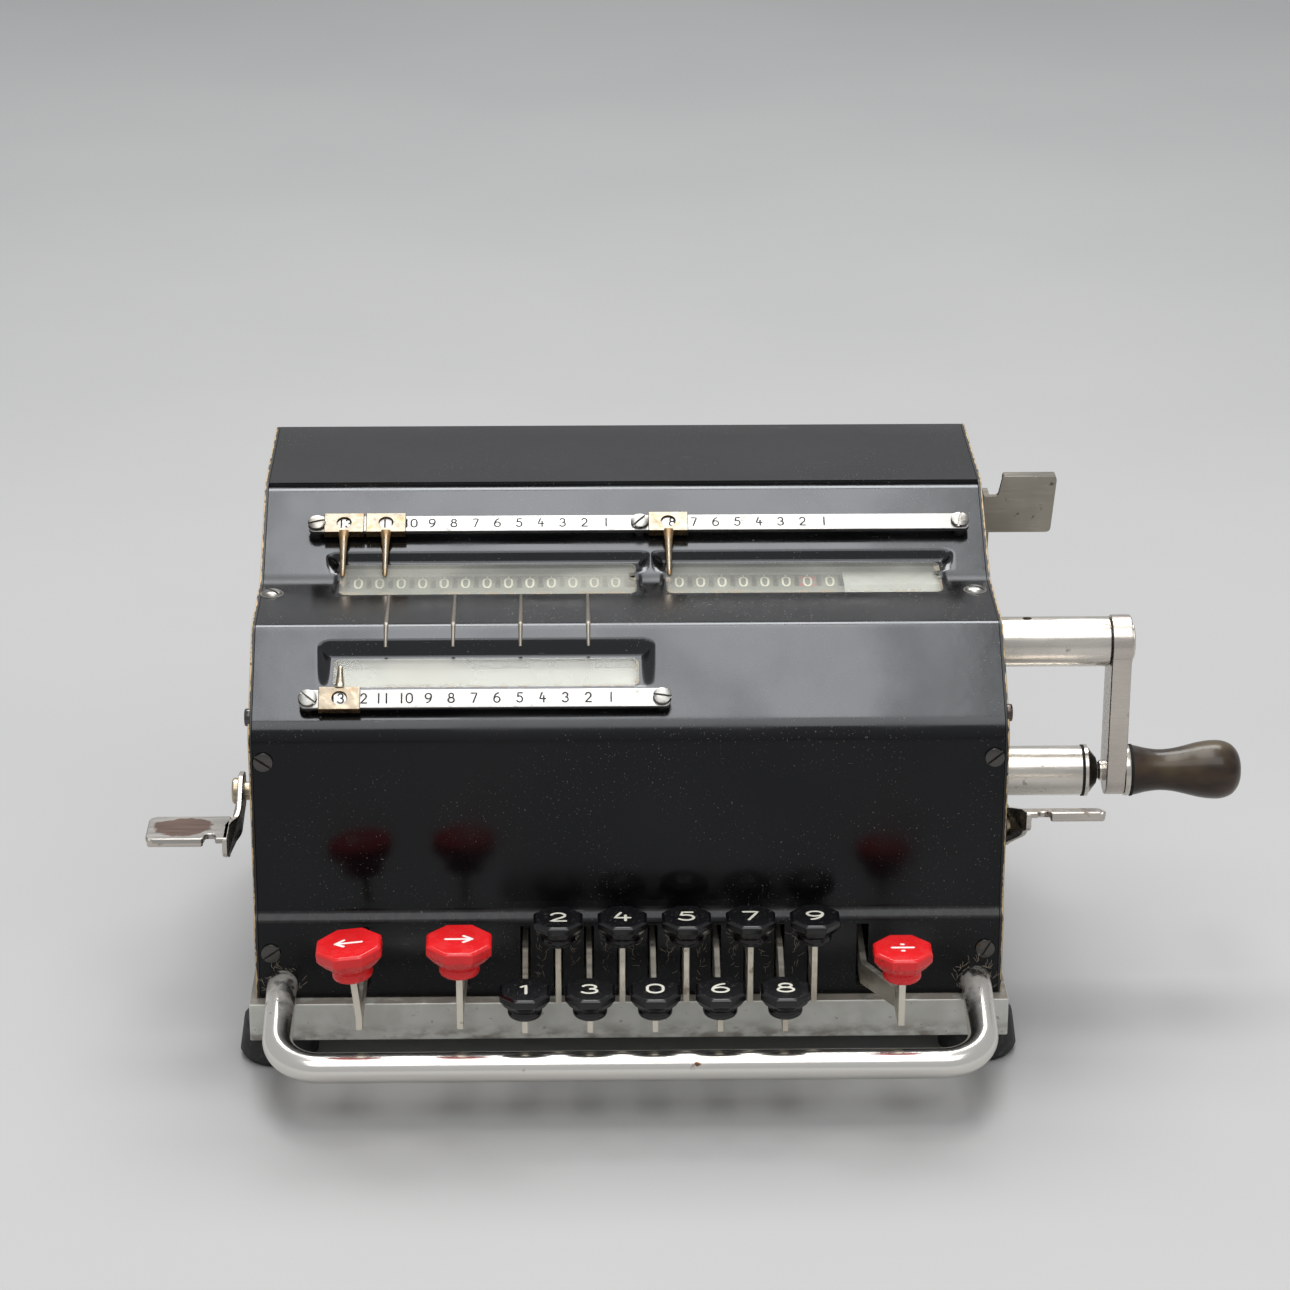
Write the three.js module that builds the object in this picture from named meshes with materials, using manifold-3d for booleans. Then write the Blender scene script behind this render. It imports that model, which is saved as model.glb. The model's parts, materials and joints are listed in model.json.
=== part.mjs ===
// A ten-key pinwheel adding machine in a black lacquered case, as an assembly of separate pieces.
// Millimetres, +Z up. X runs to the operator's right and Y to the back, so the keys face -Y.
// Every piece is placed from the middle of the front panel at the height of the table, and the whole
// group is then moved so that its origin is the middle of the bottom of its bounding box.
import * as THREE from 'three';
import { mergeVertices } from 'three/addons/utils/BufferGeometryUtils.js';
import Module from 'manifold-3d';

const wasm = await Module();
wasm.setup();

// ---------- Driving dimensions ----------

const GAP = 0.3; // between pieces that touch
const SHEET = 1.5; // thickness of the pressed covers
const SIDE_SHEET = 1.2; // thickness of the side covers

// The case: its width over the side covers, and its side view as [y, z].
const CASE_HALF = 112;
const TOP_Z = 150;
const REAR_Y = 155;
const CREST_Y = 99; // where the top ends and the upper slope begins
const SHELF_Z = 129.8;
const SHELF_BACK_Y = 64;
const SHELF_FRONT_Y = 28;
const BROW_Z = 106.9; // top of the upright front
const LEDGE_Z = 49.2; // below it, the front steps forward
const STEP = 2.4;
const COVER_FOOT_Z = 22;

// The base tray, and the rubber feet under it.
const TRAY_HALF = 114;
const TRAY_FRONT_Y = -6.5;
const TRAY_BACK_Y = 157;
const TRAY_TOP_Z = 21.6;
const TRAY_FOOT_Z = 9.4;
const TRAY_SHEET = 1.5;
const FOOT_RADIUS = 12;
const FOOT_TOP_RADIUS = 10.4;
const FOOT_X = 106;
const FRONT_FOOT_Y = 5;
const REAR_FOOT_Y = 143;
const FOOT_LIP_Z = 13;

// The carrying handle, a bent rod in front of the keys.
const HANDLE_RADIUS = 4.5;
const HANDLE_HALF = 104;
const HANDLE_LEG_Z = 26.4;
const HANDLE_BAR_Y = -41;
const HANDLE_BAR_Z = 18.2;
const HANDLE_BEND = 12;

// Windows: the glass runs from its front edge to its back edge, as [y, z].
const RESULT_WINDOW = { left: -87.6, right: 3.4, front: [52.3, 129.9], back: [74.8, 132.9] };
const COUNTER_WINDOW = { left: 12.1, right: 96.8, front: [52.3, 129.9], back: [74.8, 132.9] };
const SETTING_WINDOW = { left: -87.6, right: 3.4, front: [11.5, 116.2], back: [22.3, 121.9] };
const ALCOVE_MARGIN = 1.2; // from the ends of the glass to the walls of the alcove
const GLASS = 1.2;

// Scale bars on the two slopes: how far their middle is down the slope, and their ends.
const UPPER_BAR = { down: 19.7, left: -97.4, right: 106.4, screws: [-95, 4.6, 103.6] };
const LOWER_BAR = { down: 26.6, left: -96.8, right: 12.1, screws: [-94.4, 9.7] };
const BAR_WIDTH = 6.2;
const BAR_THICKNESS = 1.4;
const BAR_LIFT = 2; // from the slope to the underside of the bar
const MARKER_LENGTH = 12.3;
const MARKER_WALL = 0.5;
const MARKER_SLACK = 0.15;
const MARKERS = [
  { name: 'decimal_marker_1', x: -86.6, bar: UPPER_BAR, pointer: -19.8 },
  { name: 'decimal_marker_2', x: -73.7, bar: UPPER_BAR, pointer: -19.8 },
  { name: 'decimal_marker_3', x: 13.4, bar: UPPER_BAR, pointer: -19.8 },
  { name: 'decimal_marker_4', x: -85.1, bar: LOWER_BAR, pointer: 11.9 },
];

// Digit keys: two rows that share one pivot rod inside the case.
const KEY_PITCH = 19;
const PIVOT = [28, 33];
const PIVOT_RADIUS = 2;
const LEVER = 1.8; // thickness of the key levers
const FRONT_ROW = { y: -36.5, top: 41, firstX: -31.1, labels: ['1', '3', '0', '6', '8'] };
const BACK_ROW = { y: -13, top: 53, firstX: -21.3, labels: ['2', '4', '5', '7', '9'] };
const CAP = { across: 14.7, head: 4, height: 8, waist: 5.1 };
const CAP_TILT = 2.5; // degrees, leaning towards the operator
const SLOT_HALF = 1.5;
const SLOT_TOP_Z = 45;
const SLOT_FOOT_Z = 23.6;

// Red function keys: the plate leaves its slot at slotX and its stem stands at stemX.
const RED_Y = -36;
const RED_LEVER = 2;
const STEM_HALF = 2.2; // half the stem's width, front to back
const SOCKET_DEPTH = 4; // how far the stem goes up into the cap
const RED_CAP = { across: 19, head: 5.5, height: 10.5, waist: 5.9 };
const RED_KEYS = [
  { name: 'shift_left', slotX: -79.4, stemX: -79.4, capX: -82, top: 56.2, cap: RED_CAP, armZ: 31 },
  { name: 'shift_right', slotX: -49.4, stemX: -50, capX: -50, top: 57.2, cap: RED_CAP, armZ: 31 },
  {
    name: 'division', slotX: 69.8, stemX: 78.8, capX: 78.8, top: 53.4, armZ: 31,
    cap: { across: 17, head: 5, height: 9.5, waist: 5.6 },
  },
];

// The crank on the right side, hanging down with its grip beside the rest post.
const CRANK_Y = 70;
const CRANK_Z = 106.7;
const CRANK_THROW = 43.6;
const TUBE_RADIUS = 7.8;
const TUBE_END_X = 150.2;
const ARM_X = 150.5;
const ARM_THICKNESS = 6.4;
const ARM_RADIUS = 8.3;
const CRANK_SHAFT_RADIUS = 4.2;
const SPINDLE_RADIUS = 2.9;
const REST_END_X = 148.2;
const GRIP_END_X = 193.7;

// Clearing levers.
const LEVER_PLATE = 1.8;
const TAB_DEPTH = 17;
const STUD_RADIUS = 3;
const BOSS_RADIUS = 4.2;
const LEFT_LEVER = {
  side: -1, pivot: [60, 62.3], armX: 119.3, bendX: 122.3, endX: 146.5, tabY: 26, tabZ: 60.5, tilt: 0,
};
const RIGHT_LEVER = {
  side: 1, pivot: [48, 55], armX: 117.5, bendX: 121.8, endX: 145.6, tabY: 25, tabZ: 67.8, tilt: 20,
};
const UPPER_PIVOT = [112, 105];
const UPPER_TAB = { y: 100, footZ: 132, stepZ: 144, topZ: 150.5, stepX: 117.6, left: 119, right: 136 };

// The mechanism inside.
const LEFT_FRAME_X = -104;
const RIGHT_FRAME_X = 84;
const BEARING_PLATE_X = 101.5;
const FRAME = 2; // thickness of the frame plates
const GEAR_TEETH = 24;
const GEAR_MODULE = 4 / 3;
const GEAR_X = 90;
const GEAR_WIDTH = 5;
const ROTOR_AXIS = [62, 75.7];
const ROTOR_RADIUS = 23;
const ROTOR_SHAFT_RADIUS = 5;
const PINWHEELS = 9;
const PINWHEEL_PITCH = 6.6;
const ROTOR_HOME_X = 12;
const DIAL_AXIS = [73, 118.5];
const DIAL_RADIUS = 9;
const DIAL_PITCH = 6.6;
const RESULT_DIALS = { first: -82.2, count: 13 };
const COUNTER_DIALS = { first: 16.6, count: 7 };
const DIAL_SHAFT_RADIUS = 2;
const REAR_TIE = [138, 50];
const TIE_RADIUS = 3;
const JOURNAL_RADIUS = 3.5;
const COMB_Y = 46;
const COMB_Z = 33;
const BELL = { x: -58, y: 118, foot: 24, top: 39.5, radius: 18, wall: 1.3 };

// ---------- Worked-out dimensions ----------

const HALF_TURN = Math.PI;
const DEGREE = Math.PI / 180;
const COVER_HALF = CASE_HALF - SIDE_SHEET - GAP;
const UPPER_SLOPE = Math.atan2(TOP_Z - SHELF_Z, CREST_Y - SHELF_BACK_Y);
const LOWER_SLOPE = Math.atan2(SHELF_Z - BROW_Z, SHELF_FRONT_Y);
const CASE_PROFILE = [
  [-STEP, COVER_FOOT_Z],
  [-STEP, LEDGE_Z - STEP, 1.2],
  [0, LEDGE_Z, 1.2],
  [0, BROW_Z, 6],
  [SHELF_FRONT_Y, SHELF_Z, 3],
  [SHELF_BACK_Y, SHELF_Z, 3],
  [CREST_Y, TOP_Z, 2],
  [REAR_Y, TOP_Z, 5],
  [REAR_Y, COVER_FOOT_Z],
];

// ---------- Materials ----------

function finish(color, roughness, metalness) {
  return new THREE.MeshStandardMaterial({ color, roughness, metalness });
}

const lacquer = finish(0x141416, 0.18, 0.2);
const nickel = finish(0xc4bfb4, 0.25, 1);
const wornBrass = finish(0xb79a6a, 0.35, 1);
const rawSteel = finish(0x8d918f, 0.5, 0.9);
const blackKey = finish(0x161618, 0.35, 0);
const redKey = finish(0xd01f24, 0.3, 0);
const rubber = finish(0x1b1b1b, 0.85, 0);
const horn = finish(0x3a2a20, 0.25, 0);
const brass = finish(0xa8894f, 0.4, 1);
const dialWhite = finish(0x6d6f60, 0.5, 0);
const glass = finish(0xaeb5a8, 0.1, 0);

// ---------- Solids ----------

// Turns a closed geometry into a solid, with its corners merged and its faces pointing out.
function solidFrom(geometry) {
  geometry.deleteAttribute('normal');
  geometry.deleteAttribute('uv');
  const merged = mergeVertices(geometry, 1e-4);
  const place = merged.attributes.position;
  const corners = merged.index.array;
  const kept = [];
  let volume = 0;
  for (let i = 0; i < corners.length; i += 3) {
    const face = [corners[i], corners[i + 1], corners[i + 2]];
    if (new Set(face).size < 3) continue;
    const [a, b, c] = face.map((corner) => new THREE.Vector3().fromBufferAttribute(place, corner));
    volume += a.dot(b.cross(c));
    kept.push(face);
  }
  const faces = volume > 0 ? kept : kept.map(([a, b, c]) => [a, c, b]);
  return new wasm.Manifold(new wasm.Mesh({
    numProp: 3,
    vertProperties: Float32Array.from(place.array),
    triVerts: Uint32Array.from(faces.flat()),
  }));
}

function geometryFrom(solid) {
  const mesh = solid.getMesh();
  const geometry = new THREE.BufferGeometry();
  geometry.setAttribute('position', new THREE.BufferAttribute(mesh.vertProperties, 3));
  geometry.setIndex(new THREE.BufferAttribute(mesh.triVerts, 1));
  const flat = geometry.toNonIndexed();
  flat.computeVertexNormals();
  return flat;
}

const joined = (...solids) => solids.reduce((sum, solid) => sum.add(solid));
const cut = (solid, ...tools) => tools.reduce((rest, tool) => rest.subtract(tool), solid);

// A closed outline from corners [u, v] or [u, v, radius], where a radius rounds the corner.
function outline(corners) {
  const shape = new THREE.Shape();
  corners.forEach((corner, i) => {
    const [u, v, radius = 0] = corner;
    const here = new THREE.Vector2(u, v);
    const before = new THREE.Vector2(...corners.at(i - 1));
    const after = new THREE.Vector2(...corners[(i + 1) % corners.length]);
    const start = here.clone().add(before.sub(here).setLength(radius));
    const end = here.clone().add(after.sub(here).setLength(radius));
    if (i === 0) shape.moveTo(start.x, start.y);
    else shape.lineTo(start.x, start.y);
    if (radius > 0) shape.quadraticCurveTo(u, v, end.x, end.y);
  });
  shape.closePath();
  return shape;
}

const X_AXIS = new THREE.Vector3(1, 0, 0);
const Y_AXIS = new THREE.Vector3(0, 1, 0);
const Z_AXIS = new THREE.Vector3(0, 0, 1);
const SIDE_VIEW = new THREE.Matrix4().makeBasis(Y_AXIS, Z_AXIS, X_AXIS);
const FRONT_VIEW = new THREE.Matrix4().makeBasis(X_AXIS, Z_AXIS, Y_AXIS.clone().negate());

function extruded(corners, depth) {
  return new THREE.ExtrudeGeometry(outline(corners), { depth, bevelEnabled: false, curveSegments: 3 });
}

// A plate whose outline is given as [y, z] and which runs from x0 to x1.
function sidePlate(corners, x0, x1) {
  return solidFrom(extruded(corners, x1 - x0).applyMatrix4(SIDE_VIEW).translate(x0, 0, 0));
}

// A plate whose outline is given as [x, z] and which runs from y0 to y1.
function frontPlate(corners, y0, y1) {
  return solidFrom(extruded(corners, y1 - y0).applyMatrix4(FRONT_VIEW).translate(0, y1, 0));
}

// A plate whose outline is given as [x, y] and which runs from z0 to z1.
function planPlate(corners, z0, z1) {
  return solidFrom(extruded(corners, z1 - z0).translate(0, 0, z0));
}

function block([x0, y0, z0], [x1, y1, z1]) {
  const box = new THREE.BoxGeometry(x1 - x0, y1 - y0, z1 - z0);
  return solidFrom(box.translate((x0 + x1) / 2, (y0 + y1) / 2, (z0 + z1) / 2));
}

// A body turned about an axis along X through [y, z]; the profile is a list of [x, radius].
function turned(profile, [y, z], segments = 16) {
  const points = [[profile[0][0], 0], ...profile, [profile.at(-1)[0], 0]];
  const lathe = new THREE.LatheGeometry(points.map(([x, r]) => new THREE.Vector2(r, x)), segments);
  return solidFrom(lathe.rotateZ(-HALF_TURN / 2).translate(0, y, z));
}

// A body turned about an upright axis through [x, y]; the profile is a list of [z, radius].
function turnedUp(profile, [x, y], segments = 16) {
  const points = [[profile[0][0], 0], ...profile, [profile.at(-1)[0], 0]];
  const lathe = new THREE.LatheGeometry(points.map(([z, r]) => new THREE.Vector2(r, z)), segments);
  return solidFrom(lathe.rotateY(HALF_TURN / segments).rotateX(HALF_TURN / 2).translate(x, y, 0));
}

const rod = (x0, x1, radius, axis, segments = 16) => turned([[x0, radius], [x1, radius]], axis, segments);

// The inside of an outline whose corners run clockwise, a wall's thickness in from every side.
function inset(corners, wall) {
  const edges = corners.map(([u, v], i) => {
    const [nextU, nextV] = corners[(i + 1) % corners.length];
    const along = new THREE.Vector2(nextU - u, nextV - v).normalize();
    const inward = new THREE.Vector2(along.y, -along.x);
    return { along, start: new THREE.Vector2(u, v).addScaledVector(inward, wall) };
  });
  return corners.map(([, , radius = 0], i) => {
    const [a, b] = [edges.at(i - 1), edges[i]];
    const between = b.start.clone().sub(a.start);
    const step = between.cross(b.along) / a.along.cross(b.along);
    const corner = a.start.clone().addScaledVector(a.along, step);
    return [corner.x, corner.y, radius];
  });
}

// The outline of a bent strip of the given thickness along a line of points.
function strip(points, thickness) {
  const side = (sign) => points.map(([u, v], i) => {
    const [u0, v0] = points[Math.max(i - 1, 0)];
    const [u1, v1] = points[Math.min(i + 1, points.length - 1)];
    const before = new THREE.Vector2(u - u0, v - v0).normalize();
    const after = new THREE.Vector2(u1 - u, v1 - v).normalize();
    const along = before.clone().add(after).normalize();
    const known = before.lengthSq() > 0 ? before : after;
    const reach = (sign * thickness) / 2 / along.dot(known);
    return [u - along.y * reach, v + along.x * reach];
  });
  return [...side(1), ...side(-1).reverse()];
}

// ---------- The assembly ----------

const machine = new THREE.Group();

function addPiece(name, solid, material, parent = machine) {
  const mesh = new THREE.Mesh(geometryFrom(solid), material);
  mesh.name = name;
  parent.add(mesh);
}

// ---------- Covers ----------

const WINDOWS = [RESULT_WINDOW, COUNTER_WINDOW, SETTING_WINDOW];
const ABOVE_Z = TOP_Z + 20; // clear above the case, for cutting tools

// The room of an alcove above its glass, open at the top and the front.
function alcoveRoom({ left, right, front, back }) {
  const room = [front, back, [back[0], ABOVE_Z], [front[0], ABOVE_Z]];
  return sidePlate(room, left - ALCOVE_MARGIN, right + ALCOVE_MARGIN);
}

// The pressed wall round the alcove, cut off flush with the outside of the case.
function alcoveWall({ left, right, front, back }, caseSolid) {
  const outside = [
    [front[0], front[1] - SHEET], [back[0] + SHEET, back[1] - SHEET],
    [back[0] + SHEET, ABOVE_Z], [front[0], ABOVE_Z],
  ];
  const ends = ALCOVE_MARGIN + SHEET;
  return sidePlate(outside, left - ends, right + ends).intersect(caseSolid);
}

// The opening in the alcove's floor that the glass fills.
function windowOpening({ left, right, front, back }) {
  const [y0, y1] = [front[0], back[0] - ALCOVE_MARGIN];
  return block([left, y0, front[1] - 6], [right, y1, ABOVE_Z]);
}

function leverSlot(x, half) {
  return block([x - half, -STEP - 1, SLOT_FOOT_Z], [x + half, 3, SLOT_TOP_Z]);
}

function handleHole(x) {
  const hole = new THREE.CylinderGeometry(HANDLE_RADIUS + 0.4, HANDLE_RADIUS + 0.4, 12, 16);
  return solidFrom(hole.translate(x, 0, HANDLE_LEG_Z));
}

function buildCovers() {
  const inside = inset(CASE_PROFILE, SHEET);
  inside[0][1] = COVER_FOOT_Z - 1;
  inside[inside.length - 1][1] = COVER_FOOT_Z - 1;
  const full = sidePlate(CASE_PROFILE, -COVER_HALF, COVER_HALF);
  const shell = cut(full, sidePlate(inside, -CASE_HALF, CASE_HALF));
  const frontHalf = block([-CASE_HALF, -20, 0], [CASE_HALF, CREST_Y - GAP / 2, ABOVE_Z]);
  const rearHalf = block([-CASE_HALF, CREST_Y + GAP / 2, 0], [CASE_HALF, REAR_Y + 20, ABOVE_Z]);

  const keySlots = [FRONT_ROW, BACK_ROW].flatMap(
    (row) => row.labels.map((label, i) => leverSlot(row.firstX + i * KEY_PITCH, SLOT_HALF)),
  );
  const redSlots = RED_KEYS.map((key) => leverSlot(key.slotX, SLOT_HALF + 0.3));
  const front = cut(
    joined(shell.intersect(frontHalf), ...WINDOWS.map((window) => alcoveWall(window, full))),
    ...WINDOWS.map(alcoveRoom),
    ...WINDOWS.map(windowOpening),
    ...keySlots,
    ...redSlots,
    handleHole(-HANDLE_HALF),
    handleHole(HANDLE_HALF),
  );
  addPiece('front_cover', front, lacquer);
  addPiece('rear_cover', shell.intersect(rearHalf), lacquer);
}

function sideHole(axis, radius) {
  return rod(-CASE_HALF - 5, CASE_HALF + 5, radius, axis, 14);
}

function buildSideCovers() {
  const left = sidePlate(CASE_PROFILE, -CASE_HALF, SIDE_SHEET - CASE_HALF);
  const right = sidePlate(CASE_PROFILE, CASE_HALF - SIDE_SHEET, CASE_HALF);
  const studHole = STUD_RADIUS + 0.3;
  const tubeHole = TUBE_RADIUS + 0.4;
  addPiece('left_side_cover', cut(left, sideHole(LEFT_LEVER.pivot, studHole)), lacquer);
  addPiece('right_side_cover', cut(
    right,
    sideHole([CRANK_Y, CRANK_Z], tubeHole),
    sideHole([CRANK_Y, CRANK_Z - CRANK_THROW], tubeHole),
    sideHole(RIGHT_LEVER.pivot, studHole),
    sideHole(UPPER_PIVOT, studHole),
  ), lacquer);
}

function buildWindow(name, { left, right, front, back }) {
  const slope = Math.atan2(back[1] - front[1], back[0] - front[0]);
  const depth = (back[0] - front[0] - ALCOVE_MARGIN) / Math.cos(slope);
  const length = depth - 2 * GAP - GLASS * Math.tan(slope) - 0.2;
  const pane = new THREE.Group();
  pane.position.set((left + right) / 2, front[0], front[1]);
  pane.rotation.x = slope;
  machine.add(pane);
  const half = (right - left) / 2 - GAP;
  addPiece(name, block([-half, GAP, -GLASS - 0.1], [half, GAP + length, -0.1]), glass, pane);
}

// ---------- Scale bars and decimal markers ----------

// A group that lies on a slope: local y runs up the slope and local z out of it.
function slopeGroup(bar) {
  const [y, z, angle] = bar === UPPER_BAR
    ? [CREST_Y, TOP_Z, UPPER_SLOPE]
    : [SHELF_FRONT_Y, SHELF_Z, LOWER_SLOPE];
  const group = new THREE.Group();
  group.position.set(0, y - bar.down * Math.cos(angle), z - bar.down * Math.sin(angle));
  group.rotation.x = angle;
  machine.add(group);
  return group;
}

function buildScaleBar(name, bar, group) {
  const half = BAR_WIDTH / 2;
  const ends = [
    [bar.left, -half, half], [bar.right, -half, half],
    [bar.right, half, half], [bar.left, half, half],
  ];
  const flat = planPlate(ends.map(([x, y]) => [x, y, 1.5]), BAR_LIFT, BAR_LIFT + BAR_THICKNESS);
  const posts = bar.screws.map((x) => turnedUp([[GAP, 2.1], [BAR_LIFT + 0.2, 2.1]], [x, 0], 10));
  addPiece(name, joined(flat, ...posts), nickel, group);
}

function buildMarker({ name, x, pointer }, group) {
  const bore = BAR_WIDTH / 2 + MARKER_SLACK;
  const half = bore + MARKER_WALL;
  const low = BAR_LIFT - MARKER_SLACK;
  const high = BAR_LIFT + BAR_THICKNESS + MARKER_SLACK;
  const end = MARKER_LENGTH / 2;
  const sleeve = cut(
    block([x - end, -half, low - MARKER_WALL], [x + end, half, high + MARKER_WALL]),
    block([x - end - 1, -bore, low], [x + end + 1, bore, high]),
    turnedUp([[high - 0.1, 2.1], [high + 2, 2.1]], [x, 0]),
  );
  const root = Math.sign(pointer) * (half - 0.2);
  const needle = planPlate([
    [x - 2, root], [x + 2, root],
    [x + 0.8, pointer], [x - 0.8, pointer],
  ], low + 0.4, high + 0.1);
  addPiece(name, joined(sleeve, needle), wornBrass, group);
}

function buildScales() {
  const upper = slopeGroup(UPPER_BAR);
  const lower = slopeGroup(LOWER_BAR);
  buildScaleBar('upper_scale_bar', UPPER_BAR, upper);
  buildScaleBar('lower_scale_bar', LOWER_BAR, lower);
  MARKERS.forEach((marker) => buildMarker(marker, marker.bar === UPPER_BAR ? upper : lower));
}

// ---------- Base, feet and handle ----------

function buildBase() {
  const wall = TRAY_SHEET;
  addPiece('base_tray', cut(
    block([-TRAY_HALF, TRAY_FRONT_Y, TRAY_FOOT_Z], [TRAY_HALF, TRAY_BACK_Y, TRAY_TOP_Z]),
    block(
      [-TRAY_HALF + wall, TRAY_FRONT_Y + wall, TRAY_FOOT_Z - 1],
      [TRAY_HALF - wall, TRAY_BACK_Y - wall, TRAY_TOP_Z - wall],
    ),
  ), rawSteel);
}

// A rubber foot under the tray's rim, with a lip that stands up beside the tray.
function buildFoot(name, x, y) {
  const round = turnedUp([[0, 10.5], [2, FOOT_RADIUS], [FOOT_LIP_Z, FOOT_TOP_RADIUS]], [x, y], 20);
  const inward = x > 0 ? [-CASE_HALF, TRAY_HALF + GAP] : [-TRAY_HALF - GAP, CASE_HALF];
  const room = block(
    [Math.min(...inward), y - 2 * FOOT_RADIUS, TRAY_FOOT_Z - GAP],
    [Math.max(...inward), y + 2 * FOOT_RADIUS, ABOVE_Z],
  );
  addPiece(name, cut(round, room), rubber);
}

function buildFeet() {
  buildFoot('front_left_foot', -FOOT_X, FRONT_FOOT_Y);
  buildFoot('front_right_foot', FOOT_X, FRONT_FOOT_Y);
  buildFoot('rear_left_foot', -FOOT_X, REAR_FOOT_Y);
  buildFoot('rear_right_foot', FOOT_X, REAR_FOOT_Y);
}

// The rod goes level over the tray's rim, then slopes down to the bar in front of the keys.
function buildHandle() {
  const path = new THREE.CurvePath();
  const at = (x, y, z) => new THREE.Vector3(x, y, z);
  const legEnd = TRAY_FRONT_Y - 2;
  const fall = (HANDLE_BAR_Z - HANDLE_LEG_Z) / (HANDLE_BAR_Y - legEnd);
  const heightAt = (y) => HANDLE_LEG_Z + (y - legEnd) * fall;
  const cornerY = HANDLE_BAR_Y + HANDLE_BEND;
  const cornerX = HANDLE_HALF - HANDLE_BEND;
  const addLine = (a, b) => path.add(new THREE.LineCurve3(a, b));
  const bend = (side) => new THREE.QuadraticBezierCurve3(
    at(side * HANDLE_HALF, cornerY, heightAt(cornerY)),
    at(side * HANDLE_HALF, HANDLE_BAR_Y, HANDLE_BAR_Z),
    at(side * cornerX, HANDLE_BAR_Y, HANDLE_BAR_Z),
  );
  const [leftBend, rightBend] = [bend(-1), bend(1)];
  const back = new THREE.QuadraticBezierCurve3(rightBend.v2, rightBend.v1, rightBend.v0);
  addLine(at(-HANDLE_HALF, 12, HANDLE_LEG_Z), at(-HANDLE_HALF, legEnd, HANDLE_LEG_Z));
  addLine(at(-HANDLE_HALF, legEnd, HANDLE_LEG_Z), leftBend.v0);
  path.add(leftBend);
  addLine(leftBend.v2, back.v0);
  path.add(back);
  addLine(back.v2, at(HANDLE_HALF, legEnd, HANDLE_LEG_Z));
  addLine(at(HANDLE_HALF, legEnd, HANDLE_LEG_Z), at(HANDLE_HALF, 12, HANDLE_LEG_Z));
  const section = new THREE.Shape().absarc(0, 0, HANDLE_RADIUS, 0, 2 * HALF_TURN);
  const rodShape = new THREE.ExtrudeGeometry(section, { extrudePath: path, steps: 60, curveSegments: 5 });
  addPiece('carry_handle', solidFrom(rodShape), nickel);
}

// ---------- Keys ----------

// An eight-sided head with a flat towards the operator, over a narrower waist.
function keyCap({ across, head, height, waist }, [x, y, top], tilt, lean = 0) {
  const corner = across / 2 / Math.cos(HALF_TURN / 8);
  const bevel = corner - waist;
  const profile = [
    [-height, waist - 0.4], [-height + 1, waist], [-head - bevel * 0.6, waist],
    [-head, corner], [-0.5, corner], [0, corner - 0.5],
  ];
  const points = [[-height, 0], ...profile, [0, 0]].map(([z, r]) => new THREE.Vector2(r, z));
  const lathe = new THREE.LatheGeometry(points, 8).rotateY(HALF_TURN / 8).rotateX(HALF_TURN / 2);
  return solidFrom(lathe.rotateX(tilt * DEGREE).rotateY(-lean * DEGREE).translate(x, y, top));
}

// Side view of the part of every key lever that lies inside the case: from the bottom of the slot
// back round the eye on the pivot rod and the short tail, and forward to the top of the slot.
function leverTail(top, foot) {
  const [y, z] = PIVOT;
  return [
    [2, foot], [y - 4, z - 4.4], [y + 3, z - 4], [y + 9, z - 1.5],
    [y + 9, z + 1.5], [y + 3, z + 3.6], [y - 4, z + 4.4], [2, top],
  ];
}

const pivotBore = (x) => rod(x - 5, x + 5, PIVOT_RADIUS + 0.3, PIVOT, 10);

// Front-row levers leave high in their slots and dip under their caps.
function frontRowSide(row) {
  const foot = row.top - CAP.height;
  return [
    ...leverTail(39.6, 30.6),
    [-STEP, 40], [-8, 39.8], [-25, foot - 1.2], [row.y + 2.6, foot - 0.2], [row.y + 2.6, foot + 3],
    [row.y - 2.6, foot + 3], [row.y - 2.6, foot - 5], [-29, foot - 5.2], [-12, 29.4], [-STEP, 30],
  ];
}

// Back-row levers leave low in their slots and stand up in front of the panel.
function backRowSide(row) {
  const foot = row.top - CAP.height;
  return [
    ...leverTail(34.8, 27.8),
    [-STEP, 33.6], [row.y + 3.6, 33], [row.y + 2, 35], [row.y + 2, foot + 3],
    [row.y - 2, foot + 3], [row.y - 2, 25.4], [row.y + 3, 25.4], [-STEP - 4, 27.6],
  ];
}

function buildDigitKeys(row, sideOf) {
  row.labels.forEach((label, i) => {
    const x = row.firstX + i * KEY_PITCH;
    const blade = sidePlate(sideOf(row), x - LEVER / 2, x + LEVER / 2);
    const cap = keyCap(CAP, [x, row.y, row.top], CAP_TILT);
    addPiece(`key_${label}`, joined(cut(blade, pivotBore(x)), cap), blackKey);
  });
}

// Side view of a red key's plate: a level arm from the slot, and a stem up into the cap.
function redKeySide({ top, cap, armZ }) {
  const stemTop = top - cap.height + SOCKET_DEPTH;
  return [
    ...leverTail(armZ + 5.5, armZ - 3),
    [-STEP, armZ + 5], [RED_Y + 5, armZ + 3.6], [RED_Y + STEM_HALF, armZ + 6], [RED_Y + STEM_HALF, stemTop],
    [RED_Y - STEM_HALF, stemTop], [RED_Y - STEM_HALF, armZ - 2], [RED_Y + 4, armZ - 2.4],
    [-STEP - 4, armZ - 2.4],
  ];
}

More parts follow.
